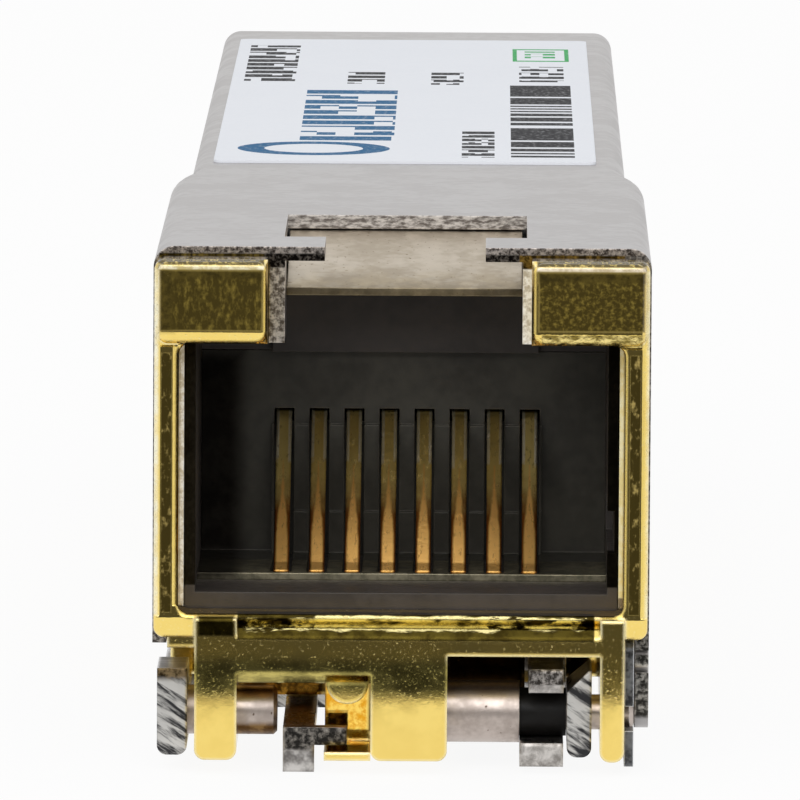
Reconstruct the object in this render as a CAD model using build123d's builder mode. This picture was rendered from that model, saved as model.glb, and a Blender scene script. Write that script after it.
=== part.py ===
import os

from build123d import *

os.makedirs("parts", exist_ok=True)

# Millimetres. X points right, Y to the rear and Z up. The origin is the middle of the base.

# Whole module
module_top = 14.9
body_length = 47.5
body_height = 8.5
rear_width = 13.1
head_width = 14.0
jack_depth = 13.1
jack_to_block = 2.0
stop_block_length = 5.4
latch_shoulder = 2.5
taper_before_stop = 1.3
taper_length = 5.0
head_half = head_width / 2
head_length = jack_depth + jack_to_block + stop_block_length
module_length = head_length + body_length
front_y = -module_length / 2
rear_y = module_length / 2
body_bottom = module_top - body_height
stop_y = front_y + head_length
block_front = stop_y - stop_block_length
shoulder_y = stop_y + latch_shoulder
taper_start = stop_y - taper_before_stop

# Clearances
fit_gap = 0.02
running_gap = 0.04
moving_gap = 0.1
wide_gap = 0.2
overcut = 1.0

# Top cover
sheet = 0.4
cover_bend = 0.6
cover_setback = 1.5
cover_proud = 0.06
cover_half = head_half + cover_proud
cover_inner = cover_half - sheet
cover_rear_half = rear_width / 2
cover_rear_inner = cover_rear_half - sheet
cover_front = front_y + cover_setback
cover_under = module_top - sheet
head_skirt_bottom = 3.55
flap_bottom = 1.1
flap_length = 4.6
flap_corner = 0.77
flap_notch_height = 3.1
flap_notch_radius = 0.32
notch_centre = 0.07
notch_narrow_width = 4.56
notch_wide_width = 6.93
notch_narrow_length = 2.65
notch_wide_length = 5.85
leg_centre = 0.035
leg_inner_width = 6.74
leg_thickness = 0.45
leg_bottom = 12.16
leg_length = 2.2

# Front frame of the casting
frame_proud = 0.25
frame_wall = 0.7
frame_inner = head_half - frame_wall
frame_bottom = 3.87
sill_top = 4.55
block_bottom = 12.25
block_top = 14.65
block_gap_left = -3.8
block_gap_right = 3.66
block_inset = 0.1
block_step = 0.03
block_corner = 0.3
block_edge = 0.15
frame_corner = 0.3
frame_edge = 0.14
frame_front = front_y + frame_proud
casting_half = cover_inner - fit_gap

# Casting under the port
foot_bottom = 0.4
foot_setback = 0.1
foot_length = 6.4
foot_edge = 0.3
left_foot_width = 1.2
centre_foot_right = 1.34
right_foot_width = 0.69
left_recess_top = 2.58
right_recess_top = 3.41
slab_top = 4.2
rib_top = 4.45
ledge_width = 1.32
ledge_from_finger = 0.28
ledge_top = 0.64
pocket_depth = 2.2
pocket_boss_radius = 0.6
cove_start = 4.45
cove_end = 3.93
cove_depth = 0.5
back_wall = 1.2
back_wall_bottom = 0.9
back_wall_play = 0.25
stop_block_bottom = 0.8
foot_front = front_y + foot_setback
foot_rear = foot_front + foot_length

# Lower shell of the casting
floor_thickness = 0.6
rail_inner = 5.2
shell_opening = 34.6
shell_rear = shoulder_y + shell_opening

# Release lever
arm_side_gap = 0.1
left_arm_width = 0.85
right_arm_width = 0.7
left_arm_to_foot = 0.22
right_arm_to_foot = 0.23
arm_bottom = 0.45
arm_top = 2.93
arm_tail_top = 1.9
arm_reach = 1.1
arm_head_length = 3.3
arm_corner = 0.28
arm_bevel = 0.62
bar_thickness = 0.8
bar_length = 3.2
bar_from_foot = 6.7
lip_height = 1.4
left_arm = (-head_half + arm_side_gap, -head_half + arm_side_gap + left_arm_width)
left_foot_start = left_arm[1] + left_arm_to_foot
left_foot = (left_foot_start, left_foot_start + left_foot_width)

# Clip on the pin
clip_thickness = 0.26
clip_bottom = 0.18
clip_top = 3.8
clip_reach = 1.3
clip_mouth = 0.7
clip_corner = 0.35
right_foot_end = casting_half - clip_thickness - fit_gap
right_foot = (right_foot_end - right_foot_width, right_foot_end)
right_arm_end = right_foot[0] - right_arm_to_foot
right_arm = (right_arm_end - right_arm_width, right_arm_end)
clip_left = right_foot[1] + fit_gap / 2

# Release pins
pin_setback = 1.8
pin_height = 1.6
stub_radius = 0.7
stub_reach = 1.13
stub_edge = 0.1
barrel_radius = 0.88
neck_radius = 0.5
neck_edge = 0.12
pin_y = front_y + pin_setback
arm_front = pin_y - arm_reach
bar_rear = foot_rear + bar_from_foot
stub_right = left_foot[1] + stub_reach

# Latch arm
latch_sheet = 0.5
ear_width = 1.24
ear_jaw_offset = 0.25
ear_half = 1.39
ear_reach = 1.3
ear_mouth = 1.37
finger_width = 0.89
finger_gap = 0.18
finger_bottom = 0.77
finger_toe = 0.92
finger_setback = 0.6
plate_bottom = 2.05
plate_half = 1.6
plate_gap = 0.3
plate_link = 2.0
ramp_start_before_block = 0.8
ramp_end_before_stop = 2.9
latch_drop = 0.04
boss_width = 2.6
boss_length = 2.6
boss_tip = 0.5
boss_height = 0.45
latch_tail = 0.2
slot_wall = 2.0
slot_clearance = 0.25
ear_right = right_arm[0] - moving_gap
ear_left = ear_right - ear_width
upper_left = ear_left + ear_jaw_offset
barrel_right = ear_left - fit_gap / 2
finger_left = stub_right + finger_gap
finger = (finger_left, finger_left + finger_width)
ledge_left = finger[1] + ledge_from_finger
ledge = (ledge_left, ledge_left + ledge_width)
centre_foot = (ledge[1], centre_foot_right)
finger_front = front_y + finger_setback
finger_top = finger_bottom + latch_sheet
plate_front = foot_rear + plate_gap
plate_top = plate_bottom + latch_sheet
ramp_start = block_front - ramp_start_before_block
ramp_end = stop_y - ramp_end_before_stop
latch_level = body_bottom + latch_drop
latch_rear = shoulder_y + boss_length + latch_tail
slot_half = plate_half + slot_clearance
slot_front = ramp_start - 1.5 * latch_sheet - slot_clearance

# Latch spring
spring_wire = 0.24
spring_radius = 0.9
spring_turns = 3
spring_from_plate = 2.6
spring_roof = 0.15
spring_y = plate_front + spring_from_plate
spring_top = slab_top - spring_roof

# Jack
shield_thickness = 0.12
shield_top = 13.4
shield_plate = 0.22
shield_plate_length = 8.6
shield_plate_rear_gap = 0.05
housing_setback = 0.1
housing_wall = 0.3
housing_back = 1.5
cavity_floor = 5.0
cavity_top = 12.1
hang_bottom = 11.07
hang_depth = 8.5
hang_left = -3.8
hang_right = 3.9
side_notch_bottom = 6.2
side_notch_top = 7.4
side_notch_depth = 0.2
side_notch_length = 5.0
window_height = 1.4
shield_inner = frame_inner - shield_thickness
housing_half = shield_inner - fit_gap
cavity_half = housing_half - housing_wall
housing_front = cover_front + housing_setback
housing_rear = front_y + jack_depth
housing_top = block_bottom - fit_gap
cavity_rear = housing_rear - housing_back
hang_front = front_y + hang_depth
slot_top = shield_top - shield_plate - fit_gap

# Contacts
contact_count = 8
contact_pitch = 1.016
contact_centre = 0.1
contact_width = 0.44
contact_thickness = 0.26
contact_foot_depth = 4.8
contact_foot_z = 5.35
contact_hook = 0.3
contact_top_depth = 8.9
contact_top_z = 9.17
contact_rise = 0.8
contact_land = 1.2
contact_bend = 0.35
comb_slot = 0.58
comb_depth = 9.0
comb_base_depth = 4.2
comb_base_margin = 0.3
comb_slot_depth = 0.8
comb_notch_top = 9.37
comb_panel = 0.2
comb_panel_top = 8.91
comb_panel_margin = 0.35
comb_ledge = 0.2
comb_ledge_top = 6.4
contact_foot_y = front_y + contact_foot_depth
contact_top_y = front_y + contact_top_depth
comb_front = front_y + comb_depth
comb_base_front = front_y + comb_base_depth
comb_base_top = cavity_floor + comb_ledge
first_place = contact_centre - (contact_count - 1) / 2 * contact_pitch
contact_places = [first_place + number * contact_pitch for number in range(contact_count)]
window_half = contact_count * contact_pitch / 2 + contact_pitch

# Circuit board
board_thickness = 1.0
board_over_floor = 2.25
board_half = 5.6
edge_half = 4.6
edge_setback = 3.2
edge_length = 6.5
board_gap = 0.3
pad_count = 10
pad_pitch = 0.8
pad_width = 0.6
pad_length = 2.9
pad_margin = 0.3
pad_thickness = 0.05
board_bottom = body_bottom + board_over_floor
board_top = board_bottom + board_thickness
board_front = housing_rear + board_gap
board_rear = rear_y - edge_setback

# Parts on the board, placed from its front end
magnetics_size = (9.4, 5.2, 3.4)
magnetics_gap = 0.6
magnetics_place = 7.6
crystal_size = (3.2, 2.5, 0.8)
crystal_corner = 0.4
crystal_place = 17.0
interface_size = (7.0, 7.0, 0.9)
interface_place = 24.6
capacitor_size = (0.6, 1.1, 0.55)
capacitor_count = 6
capacitor_pitch = 1.5
capacitor_place = 30.6
memory_size = (4.9, 3.9, 1.4)
memory_place = 34.6

# Label
label_left = -5.9
label_right = 5.67
label_after_taper = 0.3
label_rear_margin = 3.7
label_thickness = 0.08
label_corner = 0.3


def block(x, y, z, mode=Mode.ADD):
    """Add or cut a box given by its two limits along each axis."""
    with Locations(((x[0] + x[1]) / 2, (y[0] + y[1]) / 2, (z[0] + z[1]) / 2)):
        Box(x[1] - x[0], y[1] - y[0], z[1] - z[0], mode=mode)


def rod(x, radius, mode=Mode.ADD):
    """Add or cut a round rod on the pins' axis between two limits along X."""
    with Locations(((x[0] + x[1]) / 2, pin_y, pin_height)):
        Cylinder(radius, x[1] - x[0], rotation=(0, 90, 0), mode=mode)


def on_board(size, place):
    """Add a box that stands on the circuit board, its middle at a distance from the board's front end."""
    with Locations((0, board_front + place, board_top)):
        Box(*size, align=(Align.CENTER, Align.CENTER, Align.MIN))


def plan_outline(wide_half, narrow_half, start, end):
    """Draw the module's outline seen from above: wide at the head, narrower behind the taper."""
    taper_end = taper_start + taper_length
    taper_middle = (taper_start + taper_end) / 2
    with BuildLine() as outline:
        Line((0, start), (wide_half, start))
        Line((wide_half, start), (wide_half, taper_start))
        Bezier(
            (wide_half, taper_start),
            (wide_half, taper_middle),
            (narrow_half, taper_middle),
            (narrow_half, taper_end),
        )
        Line((narrow_half, taper_end), (narrow_half, end))
        Line((narrow_half, end), (0, end))
        mirror(about=Plane.YZ)
    make_face(outline.edges())


def facing(y):
    """Plane across the module at the given distance along Y, with X to the right and Z up."""
    return Plane.XZ.offset(-y)


def lengthwise(x):
    """Plane along the module at the given distance along X, with Y to the right and Z up."""
    return Plane.YZ.offset(x)


# Gold-plated casting: front frame, feet under the port, stop block and lower shell
with BuildPart() as base_casting:
    with BuildSketch(facing(frame_front)):
        with Locations((0, (frame_bottom + block_top) / 2)):
            RectangleRounded(2 * head_half, block_top - frame_bottom, frame_corner)
        with Locations((0, (sill_top + block_bottom) / 2)):
            RectangleRounded(2 * frame_inner, block_bottom - sill_top, frame_corner, mode=Mode.SUBTRACT)
        with Locations(((block_gap_left + block_gap_right) / 2, block_top)):
            Rectangle(
                block_gap_right - block_gap_left,
                2 * (block_top - block_bottom) + frame_corner,
                mode=Mode.SUBTRACT,
            )
    extrude(amount=-(cover_front - frame_front))
    frame_face = base_casting.faces().filter_by(Plane.XZ).group_by(Axis.Y)[0]
    fillet(frame_face.edges(), radius=frame_edge)
    for left, right in (
        (-head_half + block_inset, block_gap_left - block_step),
        (block_gap_right + block_step, head_half - block_inset),
    ):
        with BuildSketch(facing(front_y)):
            with Locations(((left + right) / 2, (block_bottom + block_top) / 2)):
                RectangleRounded(right - left, block_top - block_bottom - 2 * block_step, block_corner)
        extrude(amount=-(cover_front - front_y))
    block_fronts = base_casting.faces().filter_by(Plane.XZ).group_by(Axis.Y)[0]
    fillet(block_fronts.edges(), radius=block_edge)

    # Side walls, floor and upper corners of the head
    for side in (-1, 1):
        wall = sorted((side * (frame_inner + fit_gap), side * casting_half))
        block(wall, (cover_front, block_front), (right_recess_top, block_bottom))
    block((-casting_half, casting_half), (cover_front, block_front), (right_recess_top, slab_top))
    for left, right in (
        (-casting_half, block_gap_left - leg_thickness),
        (block_gap_right + leg_thickness, casting_half),
    ):
        block((left, right), (cover_front, housing_rear), (block_bottom, cover_under - fit_gap))

    # Bar under the port, with a sloping face along it
    block(
        (left_foot[0], right_foot[1]),
        (foot_front - overcut, cover_front),
        (frame_bottom, cove_start),
        mode=Mode.SUBTRACT,
    )
    with BuildSketch(lengthwise(left_foot[0])):
        with BuildLine():
            Polyline(
                (cover_front, cove_start),
                (foot_front + cove_depth, cove_start),
                (foot_front, cove_end),
                (foot_front, left_recess_top + foot_edge),
                (foot_front + foot_edge, left_recess_top),
                (cover_front + foot_edge, left_recess_top),
                (cover_front + foot_edge, slab_top),
                (cover_front, slab_top),
                close=True,
            )
        make_face()
    extrude(amount=right_foot[1] - left_foot[0])

    # Feet that carry the pins
    for foot in (left_foot, centre_foot, right_foot):
        block(foot, (foot_front, foot_rear), (foot_bottom, right_recess_top))
    for foot in (left_foot, right_foot):
        block(foot, (foot_front, cover_front), (right_recess_top, rib_top))
    foot_corners = base_casting.edges().filter_by(Axis.Y).group_by(Axis.Z)[0]
    fillet(foot_corners, radius=foot_edge)
    block(
        (left_foot[0], right_foot[1]),
        (cover_front, foot_rear),
        (left_recess_top, right_recess_top),
    )
    block(
        (centre_foot[1], right_foot[0]),
        (foot_front - overcut, foot_rear + overcut),
        (foot_bottom, right_recess_top),
        mode=Mode.SUBTRACT,
    )

    # Walls behind the pins, open below for the lever's arms and the latch arm
    wall_along = (foot_rear - back_wall, foot_rear)
    for across, low in (
        ((-casting_half, left_foot[0]), arm_tail_top + wide_gap),
        ((left_foot[1], centre_foot[0]), finger_top + back_wall_play),
        ((centre_foot[1], upper_left - moving_gap), back_wall_bottom),
        ((ear_right + moving_gap, right_foot[0]), arm_tail_top + wide_gap),
    ):
        block(across, wall_along, (low, right_recess_top))

    # Room for the clip beside the right foot
    block(
        (right_foot[1], casting_half + overcut),
        (cover_front, pin_y + clip_reach + moving_gap),
        (foot_bottom, clip_top + fit_gap),
        mode=Mode.SUBTRACT,
    )

    # Ledge and boss in the left recess
    pocket_face = foot_front + pocket_depth
    block(ledge, (pocket_face, foot_rear), (foot_bottom, left_recess_top))
    block(ledge, (foot_front, pocket_face), (foot_bottom, ledge_top))
    with BuildSketch(facing(foot_front + foot_edge)):
        with Locations(((ledge[0] + ledge[1]) / 2, left_recess_top)):
            Circle(pocket_boss_radius)
    extrude(amount=-(pocket_depth - foot_edge))

    # Stop block and lower shell
    with BuildSketch(Plane.XY.offset(stop_block_bottom)):
        plan_outline(casting_half, cover_rear_inner - fit_gap, block_front, shell_rear)
    extrude(amount=board_bottom - stop_block_bottom)
    block(
        (-casting_half, casting_half),
        (stop_y, shell_rear),
        (stop_block_bottom, body_bottom),
        mode=Mode.SUBTRACT,
    )
    block(
        (-rail_inner, rail_inner),
        (block_front - overcut, shell_rear),
        (body_bottom + floor_thickness, board_bottom),
        mode=Mode.SUBTRACT,
    )

    # Way for the latch arm through the slab, the stop block and the floor
    block(
        (-slot_half, slot_half),
        (slot_front, stop_y - slot_wall),
        (foot_bottom, board_bottom),
        mode=Mode.SUBTRACT,
    )
    block(
        (-slot_half, slot_half),
        (stop_y - slot_wall - slot_clearance, latch_rear + wide_gap),
        (body_bottom - wide_gap, board_bottom),
        mode=Mode.SUBTRACT,
    )
    with Locations((0, spring_y, right_recess_top)):
        Cylinder(
            spring_radius + spring_wire / 2 + moving_gap,
            spring_top - right_recess_top,
            align=(Align.CENTER, Align.CENTER, Align.MIN),
            mode=Mode.SUBTRACT,
        )

    # Holes for the pins
    rod((left_foot[0] - overcut, left_foot[1] + overcut), stub_radius, mode=Mode.SUBTRACT)
    rod((centre_foot[0], centre_foot[1] + overcut), barrel_radius, mode=Mode.SUBTRACT)
    rod((right_foot[0] - overcut, right_foot[1] + overcut), neck_radius, mode=Mode.SUBTRACT)

# Folded sheet cover over the top and both sides
with BuildPart() as top_cover:
    with BuildSketch(Plane.XY.offset(head_skirt_bottom)):
        plan_outline(cover_half, cover_rear_half, cover_front, rear_y)
    extrude(amount=module_top - head_skirt_bottom)
    block(
        (-cover_half, cover_half),
        (stop_y, rear_y),
        (head_skirt_bottom, body_bottom),
        mode=Mode.SUBTRACT,
    )
    long_edges = (
        top_cover.faces()
        .sort_by(Axis.Z)[-1]
        .edges()
        .filter_by(lambda edge: abs(edge.center().X) > cover_rear_half / 2)
    )
    fillet(long_edges, radius=cover_bend)
    with BuildSketch(Plane.XY.offset(head_skirt_bottom)):
        plan_outline(cover_inner, cover_rear_inner, cover_front, rear_y)
    extrude(amount=cover_under - head_skirt_bottom, mode=Mode.SUBTRACT)

    # Flap beside the pin, with a notch in its front edge
    flap_along = (cover_front, cover_front + flap_length)
    block((cover_inner, cover_half), flap_along, (flap_bottom, head_skirt_bottom))
    flap_corners = top_cover.edges().filter_by(Axis.X).group_by(Axis.Z)[0]
    fillet(flap_corners, radius=flap_corner)
    with Locations(((cover_inner + cover_half) / 2, cover_front, flap_notch_height)):
        Cylinder(flap_notch_radius, 2 * sheet, rotation=(0, 90, 0), mode=Mode.SUBTRACT)

    # Notch over the port
    notch_step = cover_front + notch_narrow_length
    notch_rear = notch_step + notch_wide_length
    notch_cut = (cover_under - overcut, module_top + overcut)
    narrow = (notch_centre - notch_narrow_width / 2, notch_centre + notch_narrow_width / 2)
    wide = (notch_centre - notch_wide_width / 2, notch_centre + notch_wide_width / 2)
    block(narrow, (cover_front - overcut, notch_step), notch_cut, mode=Mode.SUBTRACT)
    block(wide, (notch_step, notch_rear), notch_cut, mode=Mode.SUBTRACT)
    for side in (-1, 1):
        leg_face = leg_centre + side * leg_inner_width / 2
        leg = sorted((leg_face, leg_face + side * leg_thickness))
        block(leg, (cover_front, cover_front + leg_length), (leg_bottom, cover_under))

# Label on the cover
with BuildPart() as top_label:
    label_front = taper_start + taper_length + label_after_taper
    label_rear = rear_y - label_rear_margin
    with BuildSketch(Plane.XY.offset(module_top)):
        with Locations(((label_left + label_right) / 2, (label_front + label_rear) / 2)):
            RectangleRounded(label_right - label_left, label_rear - label_front, label_corner)
    extrude(amount=label_thickness)

# Thin shield around the jack: both sides, the back and the plate seen through the notch
with BuildPart() as jack_shield:
    for side in (-1, 1):
        flank = sorted((side * shield_inner, side * frame_inner))
        block(flank, (housing_front, housing_rear), (slab_top, housing_top))
    block(
        (-frame_inner, frame_inner),
        (housing_rear, housing_rear + shield_thickness),
        (board_top + overcut, shield_top),
    )
    plate_end = cover_under - shield_plate_rear_gap
    plate_rear = cover_front + notch_narrow_length + notch_wide_length
    with BuildSketch(lengthwise(leg_centre - leg_inner_width / 2)):
        with BuildLine():
            Polyline(
                (housing_rear - shield_plate_length, shield_top),
                (plate_rear, plate_end),
                (housing_rear + shield_thickness, plate_end),
                (housing_rear + shield_thickness, shield_top - shield_plate),
                (housing_rear, shield_top - shield_plate),
                (housing_rear, plate_end - shield_plate),
                (plate_rear, plate_end - shield_plate),
                (housing_rear - shield_plate_length, shield_top - shield_plate),
                close=True,
            )
        make_face()
    extrude(amount=leg_inner_width)

# Black plastic housing of the jack
with BuildPart() as jack_housing:
    block((-housing_half, housing_half), (housing_front, housing_rear), (slab_top, housing_top))
    block((hang_left, hang_right), (hang_front, housing_rear), (hang_bottom, slot_top))
    block(
        (-cavity_half, cavity_half),
        (housing_front, cavity_rear),
        (cavity_floor, cavity_top),
        mode=Mode.SUBTRACT,
    )
    block(
        (hang_left, hang_right),
        (housing_front, hang_front),
        (hang_bottom, slot_top),
        mode=Mode.SUBTRACT,
    )
    block((hang_left, hang_right), (hang_front, cavity_rear), (hang_bottom, slot_top))
    block((-cavity_half, cavity_half), (comb_front, cavity_rear), (hang_bottom, cavity_top))
    block(
        (cavity_half, cavity_half + side_notch_depth),
        (housing_front, housing_front + side_notch_length),
        (side_notch_bottom, side_notch_top),
        mode=Mode.SUBTRACT,
    )
    block(
        (-window_half, window_half),
        (cavity_rear, housing_rear),
        (contact_top_z - window_height / 2, contact_top_z + window_height / 2),
        mode=Mode.SUBTRACT,
    )

# Comb that carries the contacts
with BuildPart() as contact_carrier:
    block((-cavity_half, cavity_half), (comb_base_front, comb_front), (cavity_floor, comb_base_top))
    block((-cavity_half, cavity_half), (comb_front, cavity_rear), (cavity_floor, hang_bottom - fit_gap))
    panel = (contact_places[0] - comb_panel_margin, contact_places[-1] + comb_panel_margin)
    block(panel, (comb_front - comb_panel, comb_front), (comb_base_top, comb_panel_top))
    block(panel, (comb_front - comb_panel - comb_ledge, comb_front), (comb_base_top, comb_ledge_top))
    for place in contact_places:
        slot = (place - comb_slot / 2, place + comb_slot / 2)
        block(
            slot,
            (comb_base_front + comb_base_margin, comb_front + comb_slot_depth),
            (cavity_floor, comb_notch_top),
            mode=Mode.SUBTRACT,
        )
        block(
            slot,
            (comb_front, cavity_rear),
            (contact_top_z - contact_thickness, comb_notch_top),
            mode=Mode.SUBTRACT,
        )

# Spring contacts, one node each
pad_level = board_top + contact_thickness / 2
contact_parts = []
for number, place in enumerate(contact_places, start=1):
    with BuildPart() as contact:
        with BuildLine(lengthwise(place)) as contact_path:
            FilletPolyline(
                (contact_foot_y - contact_hook, cavity_floor + contact_thickness / 2),
                (contact_foot_y, contact_foot_z),
                (contact_top_y, contact_top_z),
                (housing_rear - contact_rise - moving_gap, contact_top_z),
                (housing_rear - moving_gap, pad_level),
                (board_front + contact_land, pad_level),
                radius=contact_bend,
            )
        start = Plane(origin=contact_path.line @ 0, z_dir=contact_path.line % 0, x_dir=(1, 0, 0))
        with BuildSketch(start):
            Rectangle(contact_width, contact_thickness)
        sweep()
    contact_parts.append((f"contact_{number}", contact.part))

# Circuit board and its edge pads
with BuildPart() as circuit_board:
    wide_end = board_rear - edge_length
    with BuildSketch(Plane.XY.offset(board_bottom)):
        with Locations((0, (board_front + wide_end) / 2)):
            Rectangle(2 * board_half, wide_end - board_front)
        with Locations((0, (wide_end + board_rear) / 2)):
            Rectangle(2 * edge_half, edge_length)
    extrude(amount=board_thickness)

pad_y = board_rear - pad_margin - pad_length / 2
with BuildPart() as edge_pads_top:
    with BuildSketch(Plane.XY.offset(board_top)):
        with Locations((0, pad_y)):
            with GridLocations(pad_pitch, pad_pitch, pad_count, 1):
                Rectangle(pad_width, pad_length)
    extrude(amount=pad_thickness)

with BuildPart() as edge_pads_bottom:
    with BuildSketch(Plane.XY.offset(board_bottom - pad_thickness)):
        with Locations((0, pad_y)):
            with GridLocations(pad_pitch, pad_pitch, pad_count, 1):
                Rectangle(pad_width, pad_length)
    extrude(amount=pad_thickness)

# Parts soldered on the board
with BuildPart() as interface_chip:
    on_board(interface_size, interface_place)

with BuildPart() as memory_chip:
    on_board(memory_size, memory_place)

with BuildPart() as crystal_can:
    on_board(crystal_size, crystal_place)
    fillet(crystal_can.edges().filter_by(Axis.Z), radius=crystal_corner)

magnetics_step = (magnetics_size[1] + magnetics_gap) / 2
magnetics_parts = []
for number, side in enumerate((-1, 1), start=1):
    with BuildPart() as magnetics:
        on_board(magnetics_size, magnetics_place + side * magnetics_step)
    magnetics_parts.append((f"magnetics_{number}", magnetics.part))

with BuildPart() as capacitors:
    with GridLocations(capacitor_pitch, capacitor_pitch, capacitor_count, 1):
        on_board(capacitor_size, capacitor_place)

# Pins that the lever and the latch arm turn on
with BuildPart() as stub_pin:
    rod((left_arm[0], stub_right), stub_radius)
    chamfer(stub_pin.edges().filter_by(GeomType.CIRCLE), length=stub_edge)

with BuildPart() as shoulder_pin:
    rod((centre_foot[0] + fit_gap, barrel_right), barrel_radius)
    rod((barrel_right, casting_half), neck_radius)
    neck_end = shoulder_pin.edges().filter_by(GeomType.CIRCLE).sort_by(Axis.X)[-1]
    chamfer(neck_end, length=neck_edge)

with BuildPart() as pivot_bushing:
    rod((barrel_right, right_arm[0] - fit_gap), ear_mouth / 2)
    rod((barrel_right, right_arm[0]), neck_radius, mode=Mode.SUBTRACT)

with BuildPart() as retaining_clip:
    with BuildSketch(lengthwise(clip_left)):
        with Locations((pin_y, (clip_bottom + clip_top) / 2)):
            RectangleRounded(2 * clip_reach, clip_top - clip_bottom, clip_corner)
        with Locations((pin_y, pin_height)):
            Circle(neck_radius, mode=Mode.SUBTRACT)
        with Locations((pin_y - clip_reach, pin_height)):
            Rectangle(2 * clip_reach, clip_mouth, mode=Mode.SUBTRACT)
    extrude(amount=clip_thickness)

# Release lever: two arms on the pins and a folded bar between them
with BuildPart() as release_lever:
    for left, right in (left_arm, right_arm):
        with BuildSketch(lengthwise(left)):
            with BuildLine():
                Polyline(
                    (arm_front, arm_bottom),
                    (bar_rear, arm_bottom),
                    (bar_rear, arm_tail_top),
                    (arm_front + arm_head_length, arm_tail_top),
                    (arm_front + arm_head_length - (arm_top - arm_tail_top), arm_top),
                    (arm_front, arm_top),
                    close=True,
                )
            make_face()
        extrude(amount=right - left)
    arm_ridges = release_lever.edges().filter_by(Axis.Y).group_by(Axis.Z)[-1].sort_by(Axis.X)
    chamfer(arm_ridges[-2], length=arm_bevel)
    arm_corners = release_lever.edges().filter_by(Axis.Y).group_by(Axis.Z)[0]
    fillet(arm_corners, radius=arm_corner)
    block(
        (left_arm[0] + arm_corner, right_arm[1] - arm_corner),
        (bar_rear - bar_length, bar_rear),
        (arm_bottom, arm_bottom + bar_thickness),
    )
    block(
        (left_arm[1], right_arm[0]),
        (bar_rear - bar_thickness, bar_rear),
        (arm_bottom, arm_bottom + lip_height),
    )
    rod(left_arm, stub_radius + running_gap, mode=Mode.SUBTRACT)
    rod(right_arm, neck_radius + running_gap, mode=Mode.SUBTRACT)

# Latch arm: ear on the pin, finger beside it, plate to the rear and boss under the body
with BuildPart() as latch_arm:
    ear_hole = ear_mouth / 2 + running_gap
    for left, low, high in (
        (upper_left, pin_height, pin_height + ear_half),
        (ear_left, pin_height - ear_half, pin_height),
    ):
        block((left, ear_right), (pin_y - ear_reach, pin_y + ear_half), (low, high))
    block((upper_left, ear_right), (pin_y, plate_front), (plate_bottom, plate_top))
    rod((ear_left - overcut, ear_right + overcut), ear_hole, mode=Mode.SUBTRACT)
    block(
        (ear_left - overcut, ear_right + overcut),
        (pin_y - 2 * ear_half, pin_y),
        (pin_height - ear_hole, pin_height + ear_hole),
        mode=Mode.SUBTRACT,
    )
    block((finger[0], ear_right), (plate_front, plate_front + plate_link), (plate_bottom, plate_top))
    block((-plate_half, plate_half), (plate_front, ramp_start), (plate_bottom, plate_top))
    block(finger, (finger_front, plate_front + latch_sheet), (finger_bottom, finger_top))
    block(finger, (plate_front, plate_front + latch_sheet), (finger_bottom, plate_top))
    block(finger, (finger_front, finger_front + latch_sheet), (0, finger_top))
    toe = (finger[0], finger[1] + finger_toe)
    block(toe, (finger_front, finger_front + latch_sheet), (finger_bottom, finger_top))
    with BuildSketch(lengthwise(-plate_half)):
        with BuildLine():
            Polyline(
                (ramp_start - latch_sheet, plate_bottom),
                (ramp_start, plate_bottom),
                (ramp_end, latch_level),
                (latch_rear, latch_level),
                (latch_rear, latch_level + latch_sheet),
                (ramp_end - latch_sheet, latch_level + latch_sheet),
                (ramp_start - latch_sheet, plate_top),
                close=True,
            )
        make_face()
    extrude(amount=2 * plate_half)
    with BuildSketch(lengthwise(-boss_width / 2)):
        with BuildLine():
            Polyline(
                (shoulder_y, latch_level),
                (shoulder_y, body_bottom - boss_height),
                (shoulder_y + boss_tip, body_bottom - boss_height),
                (shoulder_y + boss_length, latch_level),
                close=True,
            )
        make_face()
    extrude(amount=boss_width)

# Coil spring that presses the latch arm down
with BuildPart() as latch_spring:
    coil_height = spring_top - plate_top - spring_wire - fit_gap
    coil_base = Plane(origin=(0, spring_y, plate_top + (spring_wire + fit_gap) / 2))
    with BuildLine(coil_base) as coil:
        Helix(pitch=coil_height / spring_turns, height=coil_height, radius=spring_radius)
    with BuildSketch(Plane(origin=coil.line @ 0, z_dir=coil.line % 0)):
        RegularPolygon(spring_wire / 2, 6)
    sweep()

parts = [
    ("base_casting", base_casting.part),
    ("top_cover", top_cover.part),
    ("top_label", top_label.part),
    ("jack_shield", jack_shield.part),
    ("jack_housing", jack_housing.part),
    ("contact_carrier", contact_carrier.part),
    *contact_parts,
    ("circuit_board", circuit_board.part),
    ("edge_pads_top", edge_pads_top.part),
    ("edge_pads_bottom", edge_pads_bottom.part),
    ("interface_chip", interface_chip.part),
    ("memory_chip", memory_chip.part),
    ("crystal_can", crystal_can.part),
    *magnetics_parts,
    ("capacitors", capacitors.part),
    ("stub_pin", stub_pin.part),
    ("shoulder_pin", shoulder_pin.part),
    ("pivot_bushing", pivot_bushing.part),
    ("retaining_clip", retaining_clip.part),
    ("release_lever", release_lever.part),
    ("latch_arm", latch_arm.part),
    ("latch_spring", latch_spring.part),
]
for name, part in parts:
    part.label = name
    export_step(part, f"parts/{name}.step")
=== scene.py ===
"""Looks of a copper transceiver: gilded casting, nickel cover, label, jack, board and latch."""

import logging
import math
from dataclasses import dataclass, field
from enum import Enum
from typing import Iterable, Sequence

import bpy
import numpy as np
from mathutils import Matrix, Vector


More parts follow.
